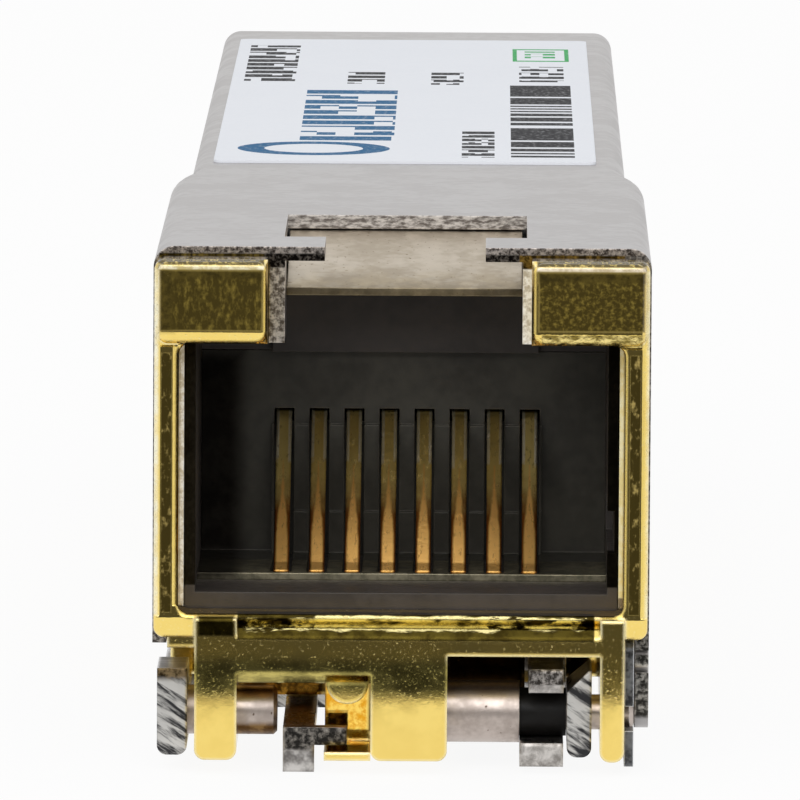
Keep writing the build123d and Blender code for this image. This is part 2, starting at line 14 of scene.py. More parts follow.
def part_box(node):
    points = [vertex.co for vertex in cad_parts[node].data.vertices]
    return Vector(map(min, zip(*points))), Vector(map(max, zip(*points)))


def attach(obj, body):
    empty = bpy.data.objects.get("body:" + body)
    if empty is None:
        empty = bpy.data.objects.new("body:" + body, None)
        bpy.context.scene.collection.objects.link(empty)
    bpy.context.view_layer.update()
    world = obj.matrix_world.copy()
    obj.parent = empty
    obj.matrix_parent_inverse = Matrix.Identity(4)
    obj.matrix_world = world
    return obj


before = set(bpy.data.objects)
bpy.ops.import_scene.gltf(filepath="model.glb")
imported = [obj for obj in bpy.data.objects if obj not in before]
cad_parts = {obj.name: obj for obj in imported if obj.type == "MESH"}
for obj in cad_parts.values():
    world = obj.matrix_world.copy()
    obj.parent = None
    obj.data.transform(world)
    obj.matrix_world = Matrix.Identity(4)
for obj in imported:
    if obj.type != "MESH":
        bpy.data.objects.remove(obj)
bpy.context.view_layer.update()

LOG = logging.getLogger("transceiver")
MM = 0.001
PER_MM = 1000.0
MODULE_BODY = "module"
EVEN = (1.0, 1.0, 1.0)
WHITE = (1.0, 1.0, 1.0, 1.0)
FLOAT = "NodeSocketFloat"
VECTOR = "NodeSocketVector"

Colour = tuple[float, float, float, float]
Screen = tuple[int, int, int]
Span = tuple[float, float]
Triple = tuple[float, float, float]
Node = bpy.types.Node
Socket = bpy.types.NodeSocket
Material = bpy.types.Material


class Print(Enum):
    """How a field of the label is filled."""

    BLOCKS = "blocks"
    STRIPES = "stripes"
    OUTLINE = "outline"
    OVAL = "oval"


def srgb(red: float, green: float, blue: float) -> Colour:
    """Linear colour of a screen colour.

    Args:
        red: Red from 0 to 255.
        green: Green from 0 to 255.
        blue: Blue from 0 to 255.

    Returns:
        The same colour as linear values, with an alpha of one.
    """
    share = np.array([red, green, blue]) / 255.0
    linear = np.where(share <= 0.04045, share / 12.92, ((share + 0.055) / 1.055) ** 2.4)
    return (float(linear[0]), float(linear[1]), float(linear[2]), 1.0)


# Node graphs


class Graph:
    """A node tree with short calls that add and wire its nodes."""

    def __init__(self, tree: bpy.types.NodeTree) -> None:
        """Keep the tree that the calls work on."""
        self.tree = tree

    def fill(self, made: Node, inputs: dict | None) -> Node:
        """Wire sockets to a node's inputs, or set the inputs to plain values.

        Args:
            made: The node.
            inputs: Values or sockets by input name or number.

        Returns:
            The same node.
        """
        for key, value in (inputs or {}).items():
            if isinstance(value, Socket):
                self.tree.links.new(value, made.inputs[key])
            else:
                made.inputs[key].default_value = value
        return made

    def node(self, kind: str, inputs: dict | None = None, **settings: object) -> Node:
        """Add a node.

        Args:
            kind: Blender's name of the node type, without its Shader prefix.
            inputs: Values or sockets by input name or number.
            **settings: Properties of the node.

        Returns:
            The new node.
        """
        made = self.tree.nodes.new(kind if kind.startswith("Node") else "ShaderNode" + kind)
        for key, value in settings.items():
            setattr(made, key, value)
        return self.fill(made, inputs)

    def group(self, tree: bpy.types.NodeTree, inputs: dict) -> Node:
        """Add a shared node group with its own values."""
        return self.node("Group", inputs, node_tree=tree)

    def math(self, operation: str, first: object, second: object = 0.0, clamp: bool = False) -> Socket:
        """Result of a calculation on two values or sockets."""
        made = self.node("Math", {0: first, 1: second}, operation=operation, use_clamp=clamp)
        return made.outputs[0]

    def times(self, first: object, second: object) -> Socket:
        """Product of two values or sockets."""
        return self.math("MULTIPLY", first, second)

    def plus(self, first: object, second: object) -> Socket:
        """Sum of two values or sockets."""
        return self.math("ADD", first, second)

    def minus(self, first: object, second: object) -> Socket:
        """The first value or socket less the second."""
        return self.math("SUBTRACT", first, second)

    def vectors(self, operation: str, first: object, second: object) -> Node:
        """Node for a calculation on two vectors."""
        return self.node("VectorMath", {0: first, 1: second}, operation=operation)

    def axes(self, vector: Socket) -> Sequence[Socket]:
        """A vector's three values, by the names X, Y and Z."""
        return self.node("SeparateXYZ", {0: vector}).outputs

    def mix(self, share: object, first: object, second: object) -> Socket:
        """Value mixed of two values by a share."""
        return self.node("Mix", {0: share, 2: first, 3: second}, data_type="FLOAT").outputs[0]

    def blend(self, share: object, first: object, second: object) -> Socket:
        """Colour mixed of two colours by a share."""
        return self.node("Mix", {0: share, 6: first, 7: second}, data_type="RGBA").outputs[2]

    def ramp(self, value: Socket, low: object, high: object, **settings: object) -> Node:
        """Node that goes from zero to one as a value goes from low to high."""
        return self.node("MapRange", {"Value": value, "From Min": low, "From Max": high}, **settings)

    def between(self, value: Socket, low: float, high: float, start: float = 0.0, end: float = 1.0) -> Socket:
        """Value moved smoothly from start to end as it goes from low to high."""
        made = self.ramp(value, low, high, interpolation_type="SMOOTHSTEP")
        return self.fill(made, {"To Min": start, "To Max": end}).outputs["Result"]

    def noise(
        self,
        place: Socket,
        per_mm: object,
        detail: float = 3.0,
        roughness: float = 0.5,
        distortion: float = 0.0,
    ) -> Socket:
        """Noise of zero to one.

        Args:
            place: Vector that it is read at.
            per_mm: Features in a millimetre, a value or a socket.
            detail: Octaves.
            roughness: Strength of the fine octaves.
            distortion: How far its shapes are bent.

        Returns:
            The noise.
        """
        scale = self.times(per_mm, PER_MM) if isinstance(per_mm, Socket) else per_mm * PER_MM
        inputs = {
            "Vector": place,
            "Scale": scale,
            "Detail": detail,
            "Roughness": roughness,
            "Distortion": distortion,
        }
        return self.node("TexNoise", inputs).outputs["Fac"]

    def patches(self, place: Socket, per_mm: float) -> Socket:
        """Cloudy patches from the shared group."""
        return self.group(EFFECTS.patches, {"Vector": place, "Per mm": per_mm}).outputs["Patches"]

    def stretched(self, place: Socket, scale: Sequence[float], turn: Sequence[float] = (0, 0, 0)) -> Socket:
        """Place with its pattern made finer along each axis by a factor, or longer by one under 1.

        Args:
            place: Vector to change.
            scale: Factor for each axis.
            turn: Angles in degrees by which those axes are turned.

        Returns:
            The changed vector.
        """
        inputs = {
            "Vector": place,
            "Rotation": tuple(math.radians(angle) for angle in turn),
            "Scale": tuple(1.0 / value for value in scale),
        }
        return self.node("Mapping", inputs, vector_type="TEXTURE").outputs["Vector"]


class Effects:
    """The shared node groups, each built once."""

    def __init__(self) -> None:
        """Build every group."""
        self.edges = self.rounded_edges()
        self.patches = self.soft_patches()
        self.scratches = self.fine_scratches()
        self.box = self.box_mask()
        self.zone = self.zone_mask()

    @staticmethod
    def new_group(name: str, inputs: dict[str, str], outputs: dict[str, str]) -> tuple:
        """Make an empty group.

        Args:
            name: Name of the group.
            inputs: Socket type by input name.
            outputs: Socket type by output name.

        Returns:
            The tree, its graph, the input node's sockets and the output node.
        """
        tree = bpy.data.node_groups.new(name, "ShaderNodeTree")
        for way, sockets in (("INPUT", inputs), ("OUTPUT", outputs)):
            for label, kind in sockets.items():
                tree.interface.new_socket(name=label, in_out=way, socket_type=kind)
        graph = Graph(tree)
        return tree, graph, graph.node("NodeGroupInput").outputs, graph.node("NodeGroupOutput")

    def rounded_edges(self) -> bpy.types.NodeTree:
        """Group that rounds the normal at sharp edges and says where they are.

        Returns:
            The group's tree.
        """
        outputs = {"Normal": VECTOR, "Edge": FLOAT}
        tree, graph, given, result = self.new_group("rounded_edges", {"Radius": FLOAT}, outputs)
        rounded = graph.node("Bevel", {"Radius": given["Radius"]}, samples=6).outputs["Normal"]
        flat = graph.node("NewGeometry").outputs["Normal"]
        alike = graph.vectors("DOT_PRODUCT", rounded, flat).outputs["Value"]
        graph.fill(result, {"Normal": rounded, "Edge": graph.between(alike, 0.995, 0.88)})
        return tree

    def soft_patches(self) -> bpy.types.NodeTree:
        """Group with cloudy patches of two sizes, from zero to one.

        Returns:
            The group's tree.
        """
        inputs = {"Vector": VECTOR, "Per mm": FLOAT}
        tree, graph, given, result = self.new_group("soft_patches", inputs, {"Patches": FLOAT})
        finer, share = 6.3, 0.3
        large = graph.noise(given["Vector"], given["Per mm"], 4.0, 0.6)
        small = graph.noise(given["Vector"], graph.times(given["Per mm"], finer), 2.0)
        both = graph.plus(graph.times(large, 1.0 - share), graph.times(small, share))
        graph.fill(result, {"Patches": graph.between(both, 0.36, 0.64)})
        return tree

    def fine_scratches(self) -> bpy.types.NodeTree:
        """Group with thin broken lines along the first axis of the vector that it is given.

        Returns:
            The group's tree.
        """
        inputs = {"Vector": VECTOR, "Per mm": FLOAT, "Share": FLOAT}
        tree, graph, given, result = self.new_group("fine_scratches", inputs, {"Lines": FLOAT})
        along = (0.09, 1.0, 1.0)
        lines = graph.noise(graph.stretched(given["Vector"], along), given["Per mm"], 2.0, 0.55, 0.15)
        start = graph.minus(0.75, graph.times(given["Share"], 0.35))
        graph.fill(result, {"Lines": graph.ramp(lines, start, graph.plus(start, 0.07)).outputs["Result"]})
        return tree

    def box_mask(self) -> bpy.types.NodeTree:
        """Group that is one inside a rectangle of the plan view.

        Returns:
            The group's tree.
        """
        inputs = {"Vector": VECTOR, "Middle X": FLOAT, "Middle Y": FLOAT, "Half X": FLOAT, "Half Y": FLOAT}
        tree, graph, given, result = self.new_group("box_mask", inputs, {"Mask": FLOAT})
        axes = graph.axes(given["Vector"])
        away = (graph.math("ABSOLUTE", graph.minus(axes[name], given["Middle " + name])) for name in "XY")
        masks = [graph.math("LESS_THAN", value, given["Half " + name]) for value, name in zip(away, "XY")]
        graph.fill(result, {"Mask": graph.times(*masks)})
        return tree

    def zone_mask(self) -> bpy.types.NodeTree:
        """Group that is one inside a box of the object and fades out at the box's sides.

        Returns:
            The group's tree.
        """
        inputs = {"Vector": VECTOR, "Low": VECTOR, "High": VECTOR, "Soft": FLOAT}
        tree, graph, given, result = self.new_group("zone_mask", inputs, {"Mask": FLOAT})
        over = graph.vectors("SUBTRACT", given["Vector"], given["Low"]).outputs[0]
        under = graph.vectors("SUBTRACT", given["High"], given["Vector"]).outputs[0]
        axes = graph.axes(graph.vectors("MINIMUM", over, under).outputs[0])
        inside = graph.math("MINIMUM", graph.math("MINIMUM", axes["X"], axes["Y"]), axes["Z"])
        share = graph.math("DIVIDE", inside, given["Soft"])
        graph.fill(result, {"Mask": graph.between(share, -1.0, 1.0)})
        return tree


EFFECTS = Effects()


# Finishes


@dataclass(frozen=True)
class Zone:
    """A box of the object, in millimetres, where a finish takes other colours; most zones below are painted
    light, shade and reflections.

    Its pattern is noise with per_mm features in a millimetre, stretched along the axes and
    cut off between two levels.
    """

    x: Span
    y: Span
    z: Span
    dark: Screen = (0, 0, 0)
    light: Screen = (0, 0, 0)
    per_mm: float = 7.0
    stretch: Triple = EVEN
    level: Span = (0.38, 0.62)
    soft: float = 0.03
    metal: float = 1.0
    ragged: float = 0.0
    waves_per_mm: float = 2.5
    wave_slant: float = 3.0

    def mask(self, graph: Graph, place: Socket) -> Socket:
        """One inside the box, fading out at its sides, which noise moves by up to ragged.

        Args:
            graph: Graph of the material.
            place: Object coordinates.

        Returns:
            The mask.
        """
        if self.ragged:
            wave = graph.noise(graph.stretched(place, self.stretch), self.waves_per_mm, 4.0, 0.7)
            shift = graph.times(graph.minus(wave, 0.5), self.ragged * MM)
            moved = graph.node("CombineXYZ", {"X": graph.times(shift, self.wave_slant), "Z": shift})
            place = graph.vectors("ADD", place, moved.outputs[0]).outputs[0]
        low, high = (tuple(value * MM for value in corner) for corner in zip(self.x, self.y, self.z))
        sides = {"Vector": place, "Low": low, "High": high, "Soft": self.soft * MM}
        return graph.group(EFFECTS.zone, sides).outputs["Mask"]

    def colour(self, graph: Graph, place: Socket) -> Socket:
        """The zone's two colours, mixed by its pattern."""
        noise = graph.noise(graph.stretched(place, self.stretch), self.per_mm, 4.0, 0.65)
        return graph.blend(graph.between(noise, *self.level), srgb(*self.dark), srgb(*self.light))


@dataclass(frozen=True)
class Fall:
    """A field of the front, in millimetres, that falls back towards one of its sides.

    It stays at its lowest for reach millimetres beyond that side.
    """

    x: Span
    z: Span
    depth: float = 0.17
    ragged: float = 0.1
    axis: str = "Z"
    towards_high: bool = False
    reach: float = 1.0
    y: Span = (-34.5, -33.0)

    def height(self, graph: Graph, place: Socket) -> Socket:
        """Height of the face: zero at the side it falls to, one at the other side and beyond.

        Args:
            graph: Graph of the material.
            place: Object coordinates.

        Returns:
            The height.
        """
        spans = {"X": self.x, "Y": self.y, "Z": self.z}
        start, end = spans[self.axis]
        if self.towards_high:
            spans[self.axis] = (start, end + self.reach)
            start, end = end, start
        else:
            spans[self.axis] = (start - self.reach, end)
        wave = graph.minus(graph.noise(place, 3.0, 4.0, 0.7), 0.5)
        level = graph.plus(graph.axes(place)[self.axis], graph.times(wave, self.ragged * MM))
        risen = graph.ramp(level, start * MM, end * MM).outputs["Result"]
        inside = Zone(*spans.values()).mask(graph, place)
        return graph.minus(1.0, graph.times(inside, graph.minus(1.0, risen)))


@dataclass(frozen=True)
class Finish:
    """What every finish has: a name, an edge radius, zones and the ends of its graph."""

    name: str
    edge_radius: float = 0.05
    zones: tuple[Zone, ...] = ()

    def zoned(self, graph: Graph, place: Socket, colour: Socket, metal: object) -> tuple[Socket, object]:
        """Lay the zones over a colour and a metallic share.

        Args:
            graph: Graph of the material.
            place: Object coordinates.
            colour: Colour outside the zones.
            metal: Metallic share outside the zones.

        Returns:
            The colour and the metallic share with the zones.
        """
        for zone in self.zones:
            mask = zone.mask(graph, place)
            colour = graph.blend(mask, colour, zone.colour(graph, place))
            metal = graph.mix(mask, metal, zone.metal)
        return colour, metal

    def start(self) -> tuple[Material, Graph, Node, Socket, Socket, Socket]:
        """Begin a material.

        Returns:
            The material, its graph, its shader, the object coordinates, the rounded normal and
            where the edges are.
        """
        material = bpy.data.materials.new(self.name)
        material.use_nodes = True
        graph = Graph(material.node_tree)
        shader = material.node_tree.nodes["Principled BSDF"]
        place = graph.node("TexCoord").outputs["Object"]
        edges = graph.group(EFFECTS.edges, {"Radius": self.edge_radius * MM}).outputs
        return material, graph, shader, place, edges["Normal"], edges["Edge"]

    def wire(
        self, graph: Graph, shader: Node, inputs: dict, normal: Socket, layers: Iterable[tuple[Socket, float]]
    ) -> None:
        """Feed the shader and stack bumps on its normal.

        Args:
            graph: Graph of the material.
            shader: The Principled shader.
            inputs: Values or sockets by input name.
            normal: Normal that the first bump starts from.
            layers: Pairs of a height socket and its depth in millimetres.
        """
        graph.fill(shader, inputs)
        for height, depth in layers:
            bump = {"Strength": 1.0, "Distance": depth * MM, "Height": height, "Normal": normal}
            normal = graph.node("Bump", bump).outputs["Normal"]
        graph.fill(shader, {"Normal": normal})

    def material(self) -> Material:
        """Build the material; each finish has its own."""
        raise NotImplementedError


@dataclass(frozen=True)
class Plated(Finish):
    """Plated metal with cloudy patches, specks, painted highlights along the edges and an uneven skin."""

    colour: Colour = (0.7, 0.7, 0.7, 1.0)
    patch_colour: Colour = (0.6, 0.6, 0.6, 1.0)
    edge_highlight_colour: Colour = (0.9, 0.9, 0.9, 1.0)
    edge_highlight_share: float = 0.7
    speck_colour: Colour = (0.1, 0.1, 0.1, 1.0)
    roughness: Span = (0.2, 0.3)
    patches_per_mm: float = 0.4
    specks_per_mm: float = 9.0
    speck_level: float = 0.70
    speck_width: float = 0.05
    speck_from: float = -100.0
    speck_fade: float = 0.2
    ripple_per_mm: float = 0.8
    ripple_depth: float = 0.01
    grain_per_mm: float = 14.0
    grain_depth: float = 0.002
    speck_depth: float = 0.004
    speck_roughness: float = 0.25
    falls: tuple[Fall, ...] = ()

    def material(self) -> Material:
        """Build the plated metal.

        Returns:
            The material.
        """
        material, graph, shader, place, normal, edge = self.start()
        patches = graph.patches(place, self.patches_per_mm)
        specks = graph.noise(place, self.specks_per_mm, 1.0)
        specks = graph.between(specks, self.speck_level, self.speck_level + self.speck_width)
        fade = (self.speck_from * MM, (self.speck_from + self.speck_fade) * MM)
        specks = graph.times(specks, graph.between(graph.axes(place)["Z"], *fade))
        colour = graph.blend(patches, self.colour, self.patch_colour)
        colour = graph.blend(specks, colour, self.speck_colour)
        # painted highlight: the edges are blended towards a pale colour
        colour = graph.blend(graph.times(edge, self.edge_highlight_share), colour, self.edge_highlight_colour)
        colour, metal = self.zoned(graph, place, colour, 1.0)
        rough = graph.between(patches, 0.0, 1.0, *self.roughness)
        rough = graph.math("ADD", rough, graph.times(specks, self.speck_roughness), clamp=True)
        layers = (
            *((fall.height(graph, place), fall.depth) for fall in self.falls),
            (graph.noise(place, self.ripple_per_mm, 2.0, 0.4), self.ripple_depth),
            (graph.noise(place, self.grain_per_mm, 2.0, 0.6), self.grain_depth),
            (specks, self.speck_depth),
        )
        inputs = {"Base Color": colour, "Roughness": rough, "Metallic": metal}
        self.wire(graph, shader, inputs, normal, layers)
        return material


@dataclass(frozen=True)
class CutSheet(Finish):
    """Metal sheet with painted highlights along its edges, whose cut ends, which face forward or back, are
    torn and speckled.
    """

    colour: Colour = (0.5, 0.5, 0.5, 1.0)
    patch_colour: Colour = (0.45, 0.45, 0.45, 1.0)
    edge_highlight_colour: Colour = (0.8, 0.8, 0.8, 1.0)
    edge_highlight_share: float = 0.6
    cut_dark: Colour = (0.02, 0.02, 0.02, 1.0)
    cut_light: Colour = (0.8, 0.8, 0.8, 1.0)
    cut_facing: Span = (0.80, 0.92)
    cut_turn: Triple = (0.0, 0.0, 0.0)
    cut_stretch: Triple = EVEN
    cut_per_mm: float = 7.0
    cut_depth: float = 0.03
    cut_level: Span = (0.44, 0.58)
    cut_roughness: float = 0.12
    roughness: Span = (0.28, 0.38)
    patches_per_mm: float = 0.5
    grain_per_mm: float = 20.0
    grain_depth: float = 0.0015
    scratch_share: float = 0.0
    scratch_strength: float = 0.35
    scratches_per_mm: float = 5.0

    def material(self) -> Material:
        """Build the sheet.

        Returns:
            The material.
        """
        material, graph, shader, place, normal, edge = self.start()
        patches = graph.patches(place, self.patches_per_mm)
        across = graph.axes(graph.node("TexCoord").outputs["Normal"])["Y"]
        cut = graph.between(graph.math("ABSOLUTE", across), *self.cut_facing)
        torn = graph.stretched(place, self.cut_stretch, self.cut_turn)
        torn = graph.noise(torn, self.cut_per_mm, 4.0, 0.65, 0.3)
        lines = {"Vector": place, "Per mm": self.scratches_per_mm, "Share": self.scratch_share}
        scratches = graph.group(EFFECTS.scratches, lines).outputs["Lines"]
        skin = graph.blend(patches, self.colour, self.patch_colour)
        # scratches are real marks, drawn in the pale colour of the painted edge highlights
        skin = graph.blend(graph.times(scratches, self.scratch_strength), skin, self.edge_highlight_colour)
        # painted highlight: the edges are blended towards the pale colour
        skin = graph.blend(graph.times(edge, self.edge_highlight_share), skin, self.edge_highlight_colour)
        end = graph.blend(graph.between(torn, *self.cut_level), self.cut_dark, self.cut_light)
        end, metal = self.zoned(graph, place, end, 1.0)
        rough = graph.between(patches, 0.0, 1.0, *self.roughness)
        inputs = {
            "Base Color": graph.blend(cut, skin, end),
            "Roughness": graph.math("ADD", rough, graph.times(cut, self.cut_roughness), clamp=True),
            "Metallic": graph.mix(cut, 1.0, metal),
        }
        grain = graph.noise(place, self.grain_per_mm, 2.0, 0.6)
        layers = ((grain, self.grain_depth), (graph.times(torn, cut), self.cut_depth))
        self.wire(graph, shader, inputs, normal, layers)
        return material


@dataclass(frozen=True)
class Moulded(Finish):
    """Moulded plastic or epoxy with a fine grain, cloudy gloss and painted highlights along the edges."""

    colour: Colour = (0.02, 0.02, 0.02, 1.0)
    patch_colour: Colour = (0.03, 0.03, 0.03, 1.0)
    edge_highlight_colour: Colour = (0.06, 0.06, 0.06, 1.0)
    roughness: Span = (0.4, 0.6)
    patches_per_mm: float = 0.5
    grain_per_mm: float = 9.0
    grain_depth: float = 0.004
    specular: float = 0.4

    def material(self) -> Material:
        """Build the plastic.

        Returns:
            The material.
        """
        material, graph, shader, place, normal, edge = self.start()
        patches = graph.patches(place, self.patches_per_mm)
        colour = graph.blend(patches, self.colour, self.patch_colour)
        # painted highlight: the edges take a paler colour
        colour = graph.blend(edge, colour, self.edge_highlight_colour)
        colour, metal = self.zoned(graph, place, colour, 0.0)
        inputs = {
            "Base Color": colour,
            "Metallic": metal,
            "Roughness": graph.between(patches, 0.0, 1.0, *self.roughness),
            "Specular IOR Level": self.specular,
        }
        grain = graph.noise(place, self.grain_per_mm, 3.0, 0.6)
        self.wire(graph, shader, inputs, normal, ((grain, self.grain_depth),))
        return material


@dataclass(frozen=True)
class SpringContact(Finish):
    """Gilded spring wire with painted light and shade: copper red low down and at the sides, olive higher,
    with painted highlights on the edges near the comb.

    The bright face is a painted reflection, a wedge about each wire's middle. It is as wide as
    the wire from full_level down and narrows to tip_width at tip_level.
    """

    wedge_reflection_colour: Colour = srgb(254, 200, 116)
    high_colour: Colour = srgb(232, 208, 130)
    side_shade_colour: Colour = srgb(120, 72, 28)
    comb_highlight_colour: Colour = srgb(250, 244, 220)
    worn_colour: Colour = srgb(104, 60, 30)
    first: float = 0.0
    pitch: float = 1.0
    tip_level: float = 7.9
    full_level: float = 5.9
    tip_width: float = 0.02
    half_width: float = 0.17
    wobble: float = 0.8
    pale_from: Span = (0.11, 0.16)
    pale_share: float = 0.9
    worn_share: float = 0.45
    roughness: Span = (0.34, 0.5)

    def material(self) -> Material:
        """Build the contact's metal.

        Returns:
            The material.
        """
        material, graph, shader, place, normal, _ = self.start()
        axes = graph.axes(place)
        tip, full = self.tip_level * MM, self.full_level * MM
        count = graph.math("DIVIDE", graph.minus(axes["X"], self.first * MM), self.pitch * MM)
        off = graph.minus(graph.math("FRACT", graph.plus(count, 10.5)), 0.5)
        off = graph.times(graph.math("ABSOLUTE", off), self.pitch)
        wave = graph.minus(graph.noise(place, 2.2, 3.0), 0.5)
        lifted = graph.plus(axes["Z"], graph.times(wave, self.wobble * MM))
        width = graph.between(lifted, tip, full, self.tip_width, self.half_width)
        # painted reflection: a bright wedge about each wire's middle
        bright = graph.between(graph.minus(off, width), 0.03, -0.05)
        bright = graph.times(bright, graph.between(lifted, tip + 0.1 * MM, tip))
        # painted shade: darker low down and at the sides, paler higher
        colour = graph.between(lifted, full + 0.6 * MM, tip)
        colour = graph.blend(colour, self.side_shade_colour, self.high_colour)
        colour = graph.blend(bright, colour, self.wedge_reflection_colour)
        # painted highlights on the edges near the comb
        pale = graph.times(graph.between(off, *self.pale_from), graph.between(lifted, 7.9 * MM, 8.1 * MM))
        colour = graph.blend(graph.times(pale, self.pale_share), colour, self.comb_highlight_colour)
        worn = graph.noise(graph.stretched(place, (2.0, 0.7, 0.7)), 4.0, 4.0, 0.65)
        worn = graph.between(worn, 0.54, 0.66)
        inputs = {
            "Base Color": graph.blend(graph.times(worn, self.worn_share), colour, self.worn_colour),
            "Roughness": graph.between(worn, 0.0, 1.0, *self.roughness),
            "Metallic": 1.0,
        }
        self.wire(graph, shader, inputs, normal, ((graph.noise(place, 6.0, 3.0, 0.6), 0.006),))
        return material


@dataclass(frozen=True)
class SolderMask(Finish):
    """Green board: tracks and plated holes under the lacquer, bare glass cloth at its edges."""

    mask_colour: Colour = srgb(18, 84, 48)
    track_colour: Colour = srgb(46, 128, 74)
    ring_colour: Colour = srgb(196, 190, 170)
    hole_colour: Colour = srgb(12, 30, 18)
    cloth_colours: tuple[Colour, Colour] = (srgb(176, 164, 110), srgb(128, 116, 66))
    tracks_per_mm: float = 1.25
    track_share: float = 0.38
    bend_per_mm: float = 0.22
    bend: float = 4.0
    holes_per_mm: float = 0.55
    hole_edge: Span = (0.16, 0.12)
    ring_edge: Span = (0.26, 0.22)
    coat: float = 0.6
    coat_roughness: float = 0.12

    def material(self) -> Material:
        """Build the board.

        Returns:
            The material.
        """
        material, graph, shader, place, normal, _ = self.start()
        bends = {"Vector": place, "Scale": self.bend_per_mm * PER_MM}
        bent = graph.node("TexVoronoi", bends, feature="F1", distance="CHEBYCHEV").outputs["Distance"]
        lane = graph.plus(graph.axes(place)["X"], graph.times(bent, self.bend * MM))
        lane = graph.math("FRACT", graph.times(lane, self.tracks_per_mm * PER_MM))
        track = graph.math("LESS_THAN", lane, self.track_share)
        cells = {"Vector": place, "Scale": self.holes_per_mm * PER_MM}
        away = graph.node("TexVoronoi", cells, feature="F1").outputs["Distance"]
        hole = graph.between(away, *self.hole_edge)
        ring = graph.minus(graph.between(away, *self.ring_edge), hole)
        facing = graph.axes(graph.node("TexCoord").outputs["Normal"])["Z"]
        flat = graph.between(graph.math("ABSOLUTE", facing), 0.5, 0.8)
        weave = graph.noise(graph.stretched(place, (1.0, 1.0, 6.0)), 5.0, 2.0)
        colour = graph.blend(track, self.mask_colour, self.track_colour)
        colour = graph.blend(ring, colour, self.ring_colour)
        colour = graph.blend(hole, colour, self.hole_colour)
        inputs = {
            "Base Color": graph.blend(flat, graph.blend(weave, *self.cloth_colours), colour),
            "Coat Weight": graph.times(flat, self.coat),
            "Coat Roughness": self.coat_roughness,
            "Roughness": graph.between(weave, 0.3, 0.7, 0.32, 0.5),
        }
        layers = ((track, 0.02), (graph.minus(1.0, hole), 0.03), (weave, 0.004))
        self.wire(graph, shader, inputs, normal, layers)
        return material


@dataclass(frozen=True)
class PrintField:
    """A field of print on the label, in millimetres of the plan view."""

    x: Span
    y: Span
    colour: Colour
    fill: Print
    pitch: float = 1.0
    share: float = 0.7

    def box(self, graph: Graph, place: Socket, inset: Span = (0.0, 0.0)) -> Socket:
        """Mask of the field's rectangle, each side moved in by an inset.

        Args:
            graph: Graph of the material.
            place: Object coordinates.
            inset: Distances in X and Y by which the sides move in.

        Returns:
            One inside, zero outside.
        """
        inputs = {"Vector": place}
        for name, span, less in zip("XY", (self.x, self.y), inset):
            inputs["Middle " + name] = sum(span) / 2 * MM
            inputs["Half " + name] = ((span[1] - span[0]) / 2 - less) * MM
        return graph.group(EFFECTS.box, inputs).outputs["Mask"]

    def ink(self, graph: Graph, place: Socket) -> Socket:
        """Where the field is inked.

        Args:
            graph: Graph of the material.
            place: Object coordinates.

        Returns:
            One where there is ink, zero elsewhere.
        """
        fills = {
            Print.OUTLINE: self.outline,
            Print.OVAL: self.oval,
            Print.STRIPES: self.stripes,
            Print.BLOCKS: self.blocks,
        }
        return graph.times(self.box(graph, place), fills[self.fill](graph, place))

    def outline(self, graph: Graph, place: Socket, line: float = 0.14) -> Socket:
        """A line along the field's sides, wider at the ends that the camera foreshortens."""
        return graph.minus(1.0, self.box(graph, place, (line, 2.5 * line)))

    def oval(self, graph: Graph, place: Socket, hole: float = 0.42) -> Socket:
        """A ring that touches the field's sides: the squares of the two shares add up to hole to one.

        Args:
            graph: Graph of the material.
            place: Object coordinates.
            hole: Least sum of the squares.

        Returns:
            One on the ring, zero elsewhere.
        """
        squares = []
        for axis, span in zip("XY", (self.x, self.y)):
            away = graph.minus(graph.axes(place)[axis], sum(span) / 2 * MM)
            share = graph.math("DIVIDE", away, (span[1] - span[0]) / 2 * MM)
            squares.append(graph.times(share, share))
        away = graph.plus(*squares)
        return graph.times(graph.math("GREATER_THAN", away, hole), graph.math("LESS_THAN", away, 1.0))

    def stripes(self, graph: Graph, place: Socket) -> Socket:
        """Rows across the field, a share of them inked by chance.

        Args:
            graph: Graph of the material.
            place: Object coordinates.

        Returns:
            One on inked rows, zero elsewhere.
        """
        row = graph.math("FLOOR", graph.math("DIVIDE", graph.axes(place)["Y"], self.pitch * MM))
        chance = graph.node("TexWhiteNoise", {"W": row}, noise_dimensions="1D").outputs["Value"]
        return graph.math("LESS_THAN", chance, self.share)

    def blocks(self, graph: Graph, place: Socket, columns: int = 5, bare: float = 0.22) -> Socket:
        """Blocks along the field, with small cells left bare by chance.

        Args:
            graph: Graph of the material.
            place: Object coordinates.
            columns: Cells across the field.
            bare: Share of the cells left bare.

        Returns:
            One on inked cells, zero elsewhere.
        """
        axes = graph.axes(place)
        along = graph.math("DIVIDE", axes["Y"], self.pitch * MM)
        inked = graph.math("LESS_THAN", graph.math("FRACT", graph.plus(along, 100.0)), self.share)
        column = (self.x[1] - self.x[0]) / columns * MM
        across = graph.math("FLOOR", graph.math("DIVIDE", axes["X"], column))
        step = graph.math("FLOOR", graph.times(along, 2.0))
        cell = graph.node("CombineXYZ", {"X": across, "Y": step}).outputs[0]
        chance = graph.node("TexWhiteNoise", {"Vector": cell}, noise_dimensions="3D").outputs["Value"]
        return graph.times(inked, graph.math("GREATER_THAN", chance, bare))


